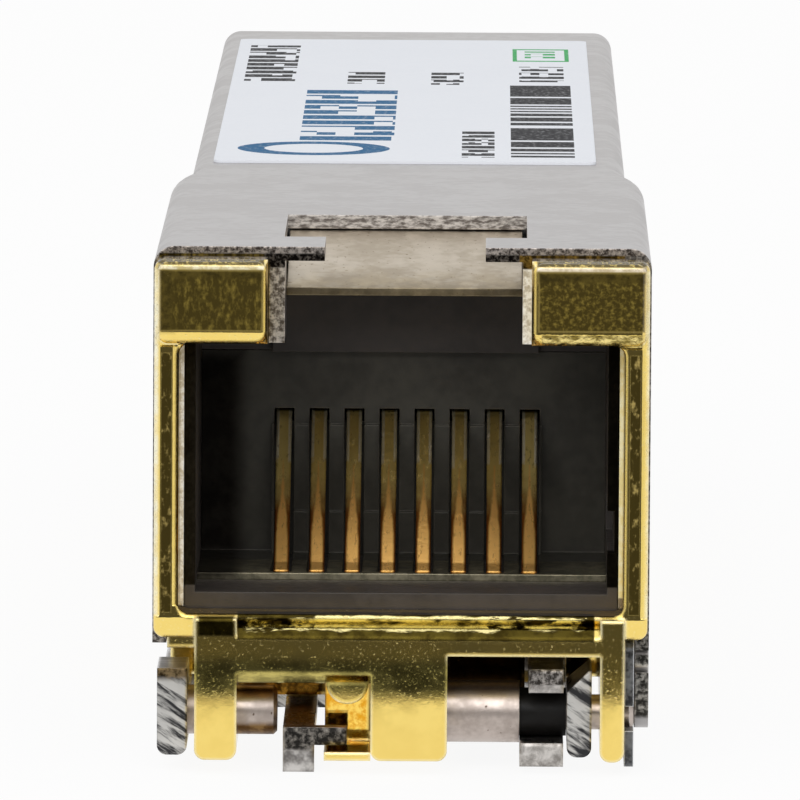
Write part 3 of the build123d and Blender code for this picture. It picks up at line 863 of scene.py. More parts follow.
@dataclass(frozen=True)
class PrintedFilm(Finish):
    """Pale label film with plain fields of print under a satin coat."""

    colour: Colour = srgb(238, 241, 247)
    patch_colour: Colour = srgb(226, 230, 238)
    patches_per_mm: float = 0.25
    patch_share: float = 0.1
    specular: float = 0.02
    fields: tuple[PrintField, ...] = ()

    def material(self) -> Material:
        """Build the label's film.

        Returns:
            The material.
        """
        material, graph, shader, place, normal, _ = self.start()
        patches = graph.patches(place, self.patches_per_mm)
        colour = graph.blend(graph.times(patches, self.patch_share), self.colour, self.patch_colour)
        fibre = graph.noise(graph.stretched(place, (1.0, 0.3, 1.0)), 8.0, 3.0)
        for piece in self.fields:
            ink = graph.times(piece.ink(graph, place), graph.between(fibre, 0.15, 0.45, 0.75, 1.0))
            colour = graph.blend(ink, colour, piece.colour)
        inputs = {
            "Base Color": colour,
            "Roughness": graph.between(fibre, 0.3, 0.7, 0.34, 0.48),
            "Specular IOR Level": self.specular,
        }
        self.wire(graph, shader, inputs, normal, ((fibre, 0.003), (patches, 0.006)))
        return material


# Spans in millimetres and stretches that several zones share.
FRONT = (-34.2, -33.1)
RIM = (-34.3, -33.4)
CUT = (-33.0, -32.0)
MOUTH = (-33.0, -31.9)
BLOCKS = ((-6.9, -3.9), (3.8, 6.9))
HOOK = (-34.2, -32.4)
ACROSS = (-7.2, 7.2)
TALL = (1.0, 1.0, 0.5)
WIDE = (0.5, 1.0, 1.8)

OLIVE_DARK = (58, 48, 16)
OLIVE = (86, 74, 28)
CREAM = (252, 236, 166)
SPOT_DARK = (76, 64, 24)
SPOT = (150, 130, 58)
GLINT = (216, 190, 112)
SHADE_DARK = (64, 54, 20)
SHADE = (96, 82, 34)
GOLD = Plated(
    name="gilded_casting",
    edge_radius=0.16,
    zones=(
        # painted shade in the recess behind the left feet, a painted bright reflection on the slab, painted
        # shade in the recess at the right
        Zone((-4.6, -2.2), (-33.4, -24.0), (0.9, 2.7), (84, 58, 18), (176, 126, 44), 2.0, soft=0.15),
        Zone((-2.15, -0.95), (-33.5, -29.0), (0.7, 2.2), (232, 166, 40), (255, 216, 104), 3.5, soft=0.06),
        Zone((1.2, 5.4), (-33.45, -24.0), (0.0, 3.5), (60, 46, 22), (84, 64, 30), 2.0, soft=0.1),
        # painted dark reflection on the top of the left foot, painted shade on the tops of the blocks, a
        # painted dark reflection on the cove over the bar with three painted bright reflections as waves
        Zone((-5.72, -4.72), FRONT, (3.95, 4.5), OLIVE_DARK, OLIVE, 3.0, soft=0.05),
        Zone(ACROSS, (-33.62, -32.3), (14.56, 14.75), (88, 74, 32), (206, 182, 104), 9.0, level=(0.5, 0.74)),
        Zone((-4.62, 5.5), FRONT, (3.84, 4.7), OLIVE_DARK, OLIVE, 3.0),
        Zone((-2.4, 2.7), FRONT, (4.1, 4.52), OLIVE, CREAM, 1.6, WIDE, (0.3, 0.45), ragged=0.3),
        Zone((-4.4, -2.2), FRONT, (4.1, 4.44), OLIVE_DARK, CREAM, 2.0, WIDE, (0.42, 0.5), ragged=0.4),
        Zone((2.5, 5.2), FRONT, (4.16, 4.5), OLIVE_DARK, CREAM, 2.0, WIDE, (0.44, 0.52), ragged=0.4),
        # painted dark reflections, mottled, on the faces of the blocks, with painted shade on their sides,
        # then a greyer painted reflection across the bar
        Zone((-6.83, -3.95), FRONT, (12.66, 14.36), SPOT_DARK, SPOT, 6.0, TALL, (0.44, 0.78), 0.05, 0.3),
        Zone((3.86, 6.85), FRONT, (12.7, 14.36), SPOT_DARK, SPOT, 7.0, EVEN, (0.44, 0.74), 0.05, 0.3),
        Zone((-6.83, -6.5), FRONT, (12.66, 14.36), SHADE_DARK, SHADE, 3.0, soft=0.16, metal=0.3),
        Zone((3.86, 6.85), FRONT, (14.1, 14.36), SHADE_DARK, SHADE, 3.0, soft=0.12, metal=0.3),
        Zone((-6.83, -3.95), FRONT, (14.16, 14.36), SHADE_DARK, SHADE, 3.0, soft=0.1, metal=0.3),
        Zone(
            (-6.1, 5.5), FRONT, (2.3, 3.3), (142, 130, 72), (200, 184, 106), 1.6, (0.5, 1.0, 1.0),
            soft=0.25, ragged=0.1,
        ),
        # painted dark reflections with painted glints on the posts, painted highlights on the pale outer
        # rims, a painted reflection on the lower band of the right block
        Zone((-6.8, -6.5), RIM, (4.6, 12.0), SPOT_DARK, GLINT, 6.0, (1.0, 1.0, 0.6), (0.52, 0.76), 0.02, 0.4),
        Zone((6.46, 6.76), RIM, (4.6, 12.0), SPOT_DARK, GLINT, 6.0, (1.0, 1.0, 0.6), (0.5, 0.74), 0.02, 0.4),
        Zone((-7.3, -6.88), RIM, (4.5, 14.4), (255, 238, 184), (255, 250, 222), 2.0, soft=0.06),
        Zone((6.92, 7.3), RIM, (4.5, 14.4), (250, 226, 150), (255, 242, 190), 2.0, soft=0.06),
        Zone((3.95, 6.8), RIM, (12.2, 12.6), (132, 114, 54), (244, 222, 144), 4.0, (0.6, 1.0, 1.4)),
        # painted shade in the dark strip and a painted highlight in the pale line along the blocks' upper
        # edges
        *(
            Zone(x, FRONT, (14.52, 14.7), (92, 78, 32), (226, 200, 112), 8.0, level=(0.5, 0.7), metal=0.2)
            for x in BLOCKS
        ),
        Zone(BLOCKS[0], FRONT, (14.4, 14.51), (214, 196, 140), (255, 246, 212), 3.0, metal=0.2),
        Zone(BLOCKS[1], FRONT, (14.4, 14.51), (214, 196, 160), (255, 240, 214), 3.0, metal=0.2),
    ),
    falls=(
        Fall((-7.2, 0.0), (12.2, 12.62), ragged=0.03, reach=0.0),
        Fall((0.0, 7.2), (12.2, 12.62), ragged=0.16, reach=0.0),
        Fall((-7.2, -5.86), (3.85, 4.45), 0.14, 0.04),
        Fall((6.38, 7.2), (3.85, 4.45), 0.14, 0.04),
        Fall((-7.06, -6.82), (4.5, 15.0), 0.12, 0.03, "X"),
        Fall((6.79, 7.06), (4.5, 15.0), 0.14, 0.03, "X", True),
        Fall((-6.48, -6.3), (4.8, 12.2), 0.09, 0.03, "X", True),
    ),
    colour=(0.93, 0.70, 0.20, 1.0),
    patch_colour=(0.91, 0.67, 0.18, 1.0),
    edge_highlight_colour=(1.0, 0.92, 0.62, 1.0),
    speck_colour=(0.96, 0.76, 0.30, 1.0),
    roughness=(0.06, 0.12),
    specks_per_mm=12.0,
    speck_level=0.56,
    speck_width=0.24,
    speck_from=2.15,
    speck_roughness=0.17,
    ripple_per_mm=1.0,
    ripple_depth=0.002,
    grain_per_mm=7.0,
    grain_depth=0.0006,
    speck_depth=0.0010,
)
NICKEL = CutSheet(
    name="satin_nickel",
    zones=(
        # painted light on the cut faces at the rear of the notch, a stronger speckle on the upper cut edge, a
        # darker speckle on the flap's end
        Zone(
            ACROSS, (-31.0, 0.0), (13.0, 15.0), (120, 112, 106), (232, 226, 220), 6.0, (0.6, 1.0, 1.6),
            metal=0.6,
        ),
        Zone(ACROSS, CUT, (14.7, 15.0), (76, 68, 64), (214, 204, 196), 9.0),
        Zone((6.7, 7.3), CUT, (0.5, 4.4), (44, 42, 38), (184, 180, 172), 6.0, level=(0.42, 0.66), metal=0.7),
        # painted brown reflections of the blocks, painted shade on the tabs between them, painted light on
        # the two legs, stronger on the right one
        Zone((-6.9, -3.9), CUT, (14.3, 14.7), (56, 46, 18), (160, 138, 72), 7.0, level=(0.42, 0.7)),
        Zone((3.3, 6.3), CUT, (14.3, 14.7), (60, 46, 16), (176, 142, 70), 7.0, level=(0.42, 0.7)),
        Zone((-3.9, 3.3), CUT, (14.3, 14.7), (26, 22, 20), (132, 124, 116), 8.0, level=(0.45, 0.68)),
        Zone((-4.1, 0.0), CUT, (12.0, 14.3), (110, 100, 90), (236, 228, 218), 7.0, metal=0.85),
        Zone((0.0, 4.1), CUT, (12.0, 14.3), (190, 180, 160), (252, 250, 242), 5.0, metal=0.0),
    ),
    colour=srgb(171, 168, 167),
    patch_colour=srgb(169, 166, 165),
    edge_highlight_colour=srgb(206, 203, 200),
    cut_dark=srgb(84, 80, 76),
    cut_light=srgb(196, 190, 184),
    cut_per_mm=8.0,
    cut_depth=0.006,
    cut_level=(0.38, 0.64),
    grain_depth=0.0006,
)
SHIELD = Plated(
    name="jack_shield_nickel",
    zones=(
        # painted highlights on the front edges at both sides, and a painted brownish shade along the front of
        # the top
        Zone((-6.5, -6.0), (-34.0, -31.0), (4.0, 12.2), (214, 206, 188), (255, 254, 250), 6.0, metal=0.0),
        Zone((6.0, 6.6), (-34.0, -31.0), (4.9, 12.3), (246, 232, 170), (255, 250, 214), 3.0, metal=0.0),
        Zone((-6.2, 6.2), (-30.0, -27.6), (13.0, 13.5), (112, 98, 68), (152, 136, 102), 1.2, soft=0.5),
    ),
    colour=srgb(184, 173, 156),
    patch_colour=srgb(168, 157, 140),
    edge_highlight_colour=srgb(214, 204, 180),
    speck_colour=srgb(140, 128, 110),
    roughness=(0.34, 0.5),
    patches_per_mm=0.5,
    ripple_depth=0.02,
)
LEVER_STEEL = CutSheet(
    name="stamped_lever_steel",
    edge_radius=0.12,
    # painted shade and a painted brown reflection of the casting on the upper part of the left arm's cut
    # front
    zones=(Zone((-7.3, -5.9), (-34.2, -31.0), (2.62, 3.6), (42, 32, 16), (140, 120, 88), 4.0, soft=0.12),),
    colour=srgb(190, 188, 186),
    patch_colour=srgb(176, 174, 172),
    edge_highlight_colour=srgb(240, 240, 240),
    cut_dark=srgb(60, 60, 62),
    cut_light=srgb(214, 212, 208),
    cut_turn=(0.0, 33.0, 0.0),
    cut_stretch=(0.16, 1.0, 1.0),
    cut_per_mm=4.6,
    cut_depth=0.012,
    cut_level=(0.38, 0.56),
    roughness=(0.25, 0.4),
    scratch_share=0.5,
)
LATCH_STEEL = CutSheet(
    name="stamped_latch_steel",
    edge_radius=0.2,
    zones=(
        # painted shade on the upper part of the hook, a broader mottle on its lower part, painted shade on
        # the upper jaw of the ear
        Zone((-3.3, -1.2), HOOK, (0.62, 1.4), (44, 42, 40), (150, 144, 136), 5.0, EVEN, (0.42, 0.7), 0.08),
        Zone((-3.3, -2.1), HOOK, (-0.4, 0.6), (120, 116, 113), (214, 210, 206), 0.9, level=(0.42, 0.6)),
        Zone((3.2, 5.0), (-34.2, -32.0), (2.55, 3.2), (60, 56, 52), (190, 184, 178), 6.0, level=(0.4, 0.66)),
    ),
    colour=srgb(176, 172, 170),
    patch_colour=srgb(150, 145, 140),
    edge_highlight_colour=srgb(242, 240, 238),
    cut_dark=srgb(150, 145, 140),
    cut_light=srgb(222, 217, 212),
    cut_per_mm=2.6,
    cut_depth=0.004,
    cut_level=(0.34, 0.66),
    roughness=(0.26, 0.4),
    scratch_share=0.4,
)
PIN_STEEL = Plated(
    name="turned_pin_steel",
    edge_radius=0.04,
    # painted brown reflection of the casting on the lower part of the left pin
    zones=(Zone((-4.7, -3.2), (-33.4, -31.0), (0.4, 1.3), (84, 58, 28), (134, 104, 64), 2.0, soft=0.12),),
    colour=srgb(196, 184, 176),
    patch_colour=srgb(172, 160, 152),
    edge_highlight_colour=srgb(236, 232, 226),
    speck_colour=srgb(120, 106, 96),
    roughness=(0.34, 0.44),
    patches_per_mm=0.9,
    specks_per_mm=5.0,
    speck_level=0.72,
    ripple_depth=0.008,
    speck_depth=0.0,
)
SPRING_STEEL = Plated(
    name="drawn_spring_steel",
    edge_radius=0.02,
    colour=srgb(176, 174, 172),
    patch_colour=srgb(150, 147, 144),
    roughness=(0.2, 0.35),
    ripple_depth=0.003,
)
TIN = Plated(
    name="tinned_terminals",
    edge_radius=0.02,
    colour=srgb(214, 214, 212),
    patch_colour=srgb(186, 186, 184),
    roughness=(0.18, 0.34),
    ripple_per_mm=2.5,
    ripple_depth=0.008,
)
PAD_GOLD = Plated(
    name="edge_pad_gold",
    edge_radius=0.02,
    colour=(0.90, 0.62, 0.20, 1.0),
    patch_colour=(0.82, 0.54, 0.16, 1.0),
    ripple_per_mm=2.0,
    ripple_depth=0.002,
    grain_depth=0.001,
)
CAN_STEEL = Plated(
    name="crystal_can_steel",
    edge_radius=0.08,
    colour=srgb(200, 200, 198),
    patch_colour=srgb(182, 182, 180),
    roughness=(0.26, 0.4),
    ripple_depth=0.004,
)
JACK_PLASTIC = Moulded(
    name="jack_plastic_black",
    zones=(
        # painted shade on the housing's front edges, darker on the right
        Zone((-7.0, -5.8), MOUTH, (5.2, 12.4), (32, 28, 21), (42, 38, 30)),
        Zone((5.8, 7.0), MOUTH, (5.2, 12.4), (14, 12, 9), (22, 20, 16)),
    ),
    colour=srgb(60, 55, 52),
    patch_colour=srgb(70, 64, 61),
    edge_highlight_colour=srgb(72, 68, 62),
)
COMB_PLASTIC = Moulded(
    name="comb_plastic_black",
    zones=(
        # painted light on the front of the floor, painted shade on the left side
        Zone((-6.2, 6.2), (-31.0, -27.0), (4.9, 5.3), (128, 123, 103), (166, 158, 134), 3.0),
        Zone((-6.4, -4.7), (-33.0, -15.0), (5.0, 11.0), (34, 31, 28), (44, 41, 37), 1.0, soft=0.4),
    ),
    colour=srgb(58, 55, 48),
    patch_colour=srgb(70, 67, 58),
    edge_highlight_colour=srgb(96, 92, 82),
    roughness=(0.35, 0.5),
)
# painted sheen in the pale patches and painted highlights on the edges
CLIP_BLACK = Moulded(
    name="oxide_black_clip",
    edge_radius=0.06,
    colour=srgb(30, 31, 34),
    patch_colour=srgb(104, 107, 112),
    edge_highlight_colour=srgb(226, 228, 232),
    roughness=(0.24, 0.42),
    patches_per_mm=1.6,
)
# near-black bushing that fills the dark gap between the ear's jaws: painted shade
GAP_SHADE_BLACK = Moulded(
    name="bushing_black", colour=srgb(10, 8, 6), patch_colour=srgb(15, 13, 11), specular=0.2
)
CHIP_BLACK = Moulded(
    name="chip_epoxy_black", colour=srgb(32, 32, 34), patch_colour=srgb(40, 40, 42), grain_per_mm=16.0
)
MAGNETICS_BLACK = Moulded(name="magnetics_black", colour=srgb(26, 26, 27), patch_colour=srgb(34, 34, 35))
CAPACITOR_TAN = Moulded(
    name="ceramic_tan",
    edge_radius=0.03,
    colour=srgb(158, 124, 92),
    patch_colour=srgb(146, 112, 80),
    edge_highlight_colour=srgb(176, 144, 112),
)
BOARD = SolderMask(name="board_green", edge_radius=0.03)
BLUE_INK = srgb(10, 94, 140)
BLACK_INK = srgb(20, 20, 26)
GREEN_INK = srgb(60, 170, 96)
LABEL = PrintedFilm(
    name="label_film",
    edge_radius=0.02,
    fields=(
        PrintField((-5.25, -0.6), (-7.8, -3.7), BLUE_INK, Print.OVAL),
        PrintField((-3.4, -0.5), (-3.4, 12.9), BLUE_INK, Print.BLOCKS, 1.64, 0.74),
        PrintField((-5.5, -3.85), (15.3, 28.0), BLACK_INK, Print.BLOCKS, 1.3, 0.75),
        PrintField((-2.15, -0.95), (14.9, 19.2), BLACK_INK, Print.BLOCKS, 1.2, 0.7),
        PrintField((0.55, 1.6), (14.7, 18.8), BLACK_INK, Print.BLOCKS, 1.2, 0.7),
        PrintField((1.6, 2.6), (-8.2, -0.1), BLACK_INK, Print.BLOCKS, 1.1, 0.72),
        PrintField((3.1, 5.04), (-8.1, 14.6), BLACK_INK, Print.STRIPES, 0.42, 0.66),
        PrintField((3.4, 4.85), (15.8, 21.0), BLACK_INK, Print.BLOCKS, 1.3, 0.6),
        PrintField((3.2, 5.05), (22.8, 27.2), GREEN_INK, Print.OUTLINE),
        PrintField((3.6, 4.6), (23.8, 26.4), GREEN_INK, Print.BLOCKS, 1.0, 0.6),
    ),
)


# Surfaces


@dataclass
class Surface:
    """Points in millimetres and the faces between them."""

    points: np.ndarray
    faces: list[tuple[int, ...]] = field(default_factory=list)

    def copies(self, moves: np.ndarray) -> "Surface":
        """The same surface once for each move.

        Args:
            moves: One row of three distances for each copy.

        Returns:
            All copies in one surface.
        """
        points = (self.points[None, :, :] + moves[:, None, :]).reshape(-1, 3)
        starts = range(0, len(points), len(self.points))
        faces = [tuple(index + start for index in face) for start in starts for face in self.faces]
        return Surface(points, faces)

    def joined(self, other: "Surface") -> "Surface":
        """This surface and another in one.

        Args:
            other: The other surface.

        Returns:
            Both as one surface.
        """
        shift = len(self.points)
        moved = [tuple(index + shift for index in face) for face in other.faces]
        return Surface(np.vstack((self.points, other.points)), self.faces + moved)

    def flipped(self) -> "Surface":
        """The same surface with its faces turned round."""
        return Surface(self.points, [tuple(reversed(face)) for face in self.faces])

    def put(self, name: str, slot: str, material: Material, smooth: bool = True) -> None:
        """Make the surface a piece of the object that rides on the module.

        Args:
            name: Name of the piece.
            slot: Not used.
            material: Its finish.
            smooth: Whether its faces are shaded smooth.
        """
        mesh = bpy.data.meshes.new(name)
        mesh.from_pydata((self.points * MM).tolist(), [], self.faces)
        mesh.polygons.foreach_set("use_smooth", np.full(len(self.faces), smooth))
        mesh.materials.append(material)
        mesh.update()
        piece = bpy.data.objects.new(name, mesh)
        bpy.context.scene.collection.objects.link(piece)
        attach(piece, MODULE_BODY)
        LOG.info("%s: %d faces on %s", name, len(self.faces), MODULE_BODY)


def closed(rings: np.ndarray) -> Surface:
    """Surface through rings of points that follow each other, with a flat face at both ends.

    Args:
        rings: Points by ring, then by place on the ring.

    Returns:
        The closed surface.
    """
    count, sides = rings.shape[:2]
    ring, side = np.meshgrid(np.arange(count - 1) * sides, np.arange(sides), indexing="ij")
    after = (side + 1) % sides
    quads = np.stack((ring + side, ring + after, ring + sides + after, ring + sides + side), axis=-1)
    faces = [tuple(quad) for quad in quads.reshape(-1, 4).tolist()]
    last = (count - 1) * sides
    faces += [tuple(range(sides - 1, -1, -1)), tuple(range(last, last + sides))]
    return Surface(rings.reshape(-1, 3), faces)


def ribbon(path: np.ndarray, width: float, thickness: float) -> Surface:
    """Flat wire along a path in the plane across X and Z, its width along Y.

    Each corner rail is the path moved by half the thickness along its own normal and by half
    the width along Y. The normal is the mean direction of the two runs that meet, turned by a
    right angle.

    Args:
        path: Points of the path, one row of X and Z each.
        width: Width of the wire.
        thickness: Thickness of the wire.

    Returns:
        The closed surface.
    """
    along = np.gradient(path, axis=0)
    along /= np.linalg.norm(along, axis=1, keepdims=True)
    normal = np.stack((-along[:, 1], along[:, 0]), axis=1)
    corners = np.array(((-1, -1), (1, -1), (1, 1), (-1, 1))) / 2
    offset = path[:, None, :] + corners[None, :, 1:2] * thickness * normal[:, None, :]
    across = np.broadcast_to(corners[None, :, 0] * width, offset.shape[:2])
    return closed(np.stack((offset[..., 0], across, offset[..., 1]), axis=-1))


def turned(radii: np.ndarray, heights: np.ndarray, sides: int, squash: Span = (1.0, 1.0)) -> Surface:
    """Surface of revolution about Z, closed by a flat face at both ends.

    A point at angle a on the ring of radius r is r times the cosine and sine of a, each times
    its own squash, at that ring's height.

    Args:
        radii: Radius of each ring, from the bottom up.
        heights: Height of each ring.
        sides: Number of points on a ring.
        squash: Factors of X and Y.

    Returns:
        The closed surface.
    """
    angle = np.linspace(0.0, 2 * np.pi, sides, endpoint=False)
    x = radii[:, None] * np.cos(angle)[None, :] * squash[0]
    y = radii[:, None] * np.sin(angle)[None, :] * squash[1]
    z = np.broadcast_to(heights[:, None], x.shape)
    return closed(np.stack((x, y, z), axis=-1))


# Sub-assemblies


def dress(finish: Finish, *nodes: str) -> Material:
    """Give CAD nodes a finish in their material slots.

    Args:
        finish: The finish, whose material is built once here.
        *nodes: Names of the nodes.

    Returns:
        The material.
    """
    material = finish.material()
    for name in nodes:
        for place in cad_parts[name].material_slots:
            place.material = material
        LOG.info("%s: dressed in %s", name, material.name)
    return material


def node_points(name: str) -> np.ndarray:
    """Points of a CAD node in millimetres, one row each.

    Args:
        name: Name of the node.

    Returns:
        Its points.
    """
    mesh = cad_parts[name].data
    points = np.empty(len(mesh.vertices) * 3)
    mesh.vertices.foreach_get("co", points)
    return points.reshape(-1, 3) / MM


@dataclass
class HeadCasting:
    """The gilded casting, with the ejector marks of its mould, in millimetres."""

    mark_radius: float = 0.9
    mark_rise: float = 0.05
    mark_inset: float = 2.2
    mark_rows: int = 3
    behind_arm: float = 4.0
    before_rear: float = 3.0

    def build(self) -> None:
        """Dress the casting and raise its ejector marks."""
        self.ejector_marks(dress(GOLD, "base_casting"))

    def ejector_marks(self, material: Material) -> None:
        """Put shallow round marks on the underside of the shell, in two rows.

        The underside's height is the least of the casting's own points behind the stop.

        Args:
            material: The casting's material.
        """
        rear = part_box("base_casting")[1].y / MM - self.before_rear
        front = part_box("latch_arm")[1].y / MM + self.behind_arm
        points = node_points("base_casting")
        bottom = float(points[points[:, 1] > 0.0][:, 2].min())
        radii = np.array((0.74, 0.78, 0.9, 1.0, 1.0)) * self.mark_radius
        levels = np.array((-0.35, -0.9, -1.0, -0.6, 0.03)) * self.mark_rise
        x, y = np.meshgrid((-self.mark_inset, self.mark_inset), np.linspace(front, rear, self.mark_rows))
        moves = np.stack((x.ravel(), y.ravel(), np.full(x.size, bottom)), axis=1)
        mark = turned(radii, levels, 32).flipped()
        mark.copies(moves).put("ejector_marks", "gold_plating", material)


@dataclass
class Cover:
    """The folded cover and the label on it."""

    def build(self) -> None:
        """Dress the cover and the label."""
        dress(NICKEL, "top_cover")
        dress(LABEL, "top_label")


@dataclass
class Jack:
    """The shield, the housing, the comb and its eight contacts, in millimetres."""

    contacts: int = 8
    tail_radius: float = 0.42
    tail_rise: float = 0.36
    tail_length: float = 0.5
    dome_angle: float = 0.47 * np.pi
    dome_squash: Span = (0.85, 1.5)
    foot_share: float = 0.12

    def build(self) -> None:
        """Dress the jack; the contacts' finish takes its pitch from the first two."""
        dress(SHIELD, "jack_shield")
        dress(JACK_PLASTIC, "jack_housing")
        dress(COMB_PLASTIC, "contact_carrier")
        names = [f"contact_{number}" for number in range(1, self.contacts + 1)]
        first, second = (sum(corner.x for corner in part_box(name)) / 2 / MM for name in names[:2])
        dress(SpringContact("spring_contact_gold", 0.08, first=first, pitch=second - first), *names)

    def solder(self, material: Material) -> None:
        """Put domes of solder over the contacts' tails.

        A dome's radius falls with the cosine of its angle above the board while its height
        grows with the sine, with a wider foot.

        Args:
            material: The solder's material.
        """
        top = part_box("circuit_board")[1].z / MM
        angle = np.linspace(0.0, self.dome_angle, 8)
        radii = self.tail_radius * (np.cos(angle) + self.foot_share * np.exp(-4 * angle))
        dome = turned(radii, self.tail_rise * np.sin(angle), 20, self.dome_squash)
        boxes = [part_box(f"contact_{number}") for number in range(1, self.contacts + 1)]
        moves = [((low.x + high.x) / 2 / MM, high.y / MM - self.tail_length, top) for low, high in boxes]
        dome.copies(np.array(moves)).put("contact_solder", "can_steel", material)


@dataclass(frozen=True)
class Leads:
    """Bent leads on two sides of a chip, in millimetres, their rows along Y or along X.

    A lead leaves the body level, falls to the board by a half wave of the cosine and ends in a
    level foot.
    """

    node: str
    name: str
    pitch: float
    count: int
    width: float
    reach: float
    along_y: bool = True
    thickness: float = 0.12
    root: float = 0.1
    level_share: float = 0.25
    fall_share: float = 0.4
    body_share: float = 0.45
    highest: float = 0.75

    def build(self, material: Material) -> None:
        """Put both rows on the board.

        Args:
            material: The leads' material.
        """
        low, high = (np.array(corner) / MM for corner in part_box(self.node))
        rise = min(self.body_share * (high[2] - low[2]), self.highest)
        share = np.linspace(0.0, 1.0, 13)
        fall = np.clip((share - self.level_share) / self.fall_share, 0.0, 1.0)
        height = rise * 0.5 * (1 + np.cos(np.pi * fall)) + self.thickness / 2
        path = np.stack((share * (self.reach + self.root) - self.root, height), axis=1)
        lead = ribbon(path, self.width, self.thickness)
        row, side = (1, 0) if self.along_y else (0, 1)
        moves = np.zeros((self.count, 3))
        moves[:, row] = (low + high)[row] / 2 + (np.arange(self.count) - (self.count - 1) / 2) * self.pitch
        moves[:, 2] = low[2]
        rows = []
        for sign, edge in ((-1.0, low), (1.0, high)):
            points = lead.points.copy()
            points[:, side] = sign * lead.points[:, 0]
            points[:, row] = lead.points[:, 1]
            moves[:, side] = edge[side]
            placed = Surface(points, lead.faces)
            if (sign > 0) != self.along_y:
                placed = placed.flipped()
            rows.append(placed.copies(moves))
        rows[0].joined(rows[1]).put(self.name, "can_steel", material, smooth=False)


@dataclass
class Board:
    """The circuit board and what is soldered on it, in millimetres."""

    leads: tuple[Leads, ...] = (
        Leads("interface_chip", "interface_leads", 0.5, 12, 0.24, 0.7),
        Leads("memory_chip", "memory_leads", 1.27, 4, 0.42, 0.95, along_y=False),
        Leads("magnetics_1", "magnetics_leads_1", 1.0, 4, 0.4, 0.75),
        Leads("magnetics_2", "magnetics_leads_2", 1.0, 4, 0.4, 0.75),
    )
    cap_side: float = 0.03
    cap_top: float = 0.015
    cap_power: float = 0.35

    def build(self) -> Material:
        """Dress the board, its pads and its parts, and add their terminals.

        Returns:
            The terminals' material.
        """
        dress(BOARD, "circuit_board")
        dress(PAD_GOLD, "edge_pads_top", "edge_pads_bottom")
        dress(CHIP_BLACK, "interface_chip", "memory_chip")
        dress(CAN_STEEL, "crystal_can")
        dress(MAGNETICS_BLACK, "magnetics_1", "magnetics_2")
        dress(CAPACITOR_TAN, "capacitors")
        tin = TIN.material()
        for leads in self.leads:
            leads.build(tin)
        self.capacitor_ends(tin)
        return tin

    def capacitor_ends(self, material: Material) -> None:
        """Put tinned caps on both ends of every capacitor.

        A cap's section is a rounded square: the cosine and sine of the angle, each with its
        sign kept and its size raised to a small power. It is swept along Y in four steps, with
        smaller ends.

        Args:
            material: The caps' material.
        """
        points = node_points("capacitors")
        low, high = points.min(axis=0), points.max(axis=0)
        sides = np.unique(np.round(points[:, 0], 3))
        half_width = (sides[1] - sides[0]) / 2 + self.cap_side
        half_height = (high[2] - low[2]) / 2 + self.cap_top
        angle = np.linspace(0.0, 2 * np.pi, 24, endpoint=False)
        wave = np.stack((np.cos(angle), np.sin(angle)))
        across, up = np.sign(wave) * np.abs(wave) ** self.cap_power
        steps = np.array((0.0, 0.03, 0.22, 0.25))
        scale = np.array((0.93, 1.0, 1.0, 0.93))[:, None]
        x, z = scale * (half_width * across), scale * (half_height * up)
        cap = closed(np.stack((x, np.broadcast_to(steps[:, None], x.shape), z), axis=-1)).flipped()
        moves = np.full((len(sides) // 2, 3), (low[2] + high[2]) / 2)
        moves[:, 0] = (sides[0::2] + sides[1::2]) / 2
        ends = []
        for start in (low[1] - steps[1], high[1] - steps[2]):
            moves[:, 1] = start
            ends.append(cap.copies(moves))
        ends[0].joined(ends[1]).put("capacitor_ends", "can_steel", material)


@dataclass
class Latch:
    """The release lever, the latch arm, their pins, the clip and the spring."""

    def build(self) -> None:
        """Dress every piece of the latch."""
        dress(LEVER_STEEL, "release_lever")
        dress(LATCH_STEEL, "latch_arm")
        dress(PIN_STEEL, "stub_pin", "shoulder_pin")
        dress(GAP_SHADE_BLACK, "pivot_bushing")
        dress(CLIP_BLACK, "retaining_clip")
        dress(SPRING_STEEL, "latch_spring")


# Studio


@dataclass
class PhotoCamera:
    """The camera at the photograph's place, in millimetres and radians."""

    place: Triple = (2.30, -369.0, 52.0)
    down: float = 0.12257
    yaw: float = -0.0070
    roll: float = 0.00594
    lens: float = 537.885
    sensor: float = 36.0

    def build(self) -> None:
        """Make the camera and give it to the scene."""
        level = math.cos(self.down)
        forward = Vector((math.sin(self.yaw) * level, math.cos(self.yaw) * level, -math.sin(self.down)))
        right = Vector((math.cos(self.yaw), -math.sin(self.yaw), 0.0))
        upward = right.cross(forward)
        side = right * math.cos(self.roll) + upward * math.sin(self.roll)
        top = upward * math.cos(self.roll) - right * math.sin(self.roll)
        data = bpy.data.cameras.new("photo_camera")
        data.lens = self.lens
        data.sensor_width = self.sensor
        data.clip_start = 0.01
        data.clip_end = 20.0
        camera = bpy.data.objects.new("photo_camera", data)
        turn = Matrix((side, top, -forward)).transposed().to_4x4()
        camera.matrix_world = Matrix.Translation(Vector(self.place) * MM) @ turn
        bpy.context.scene.collection.objects.link(camera)
        bpy.context.scene.camera = camera


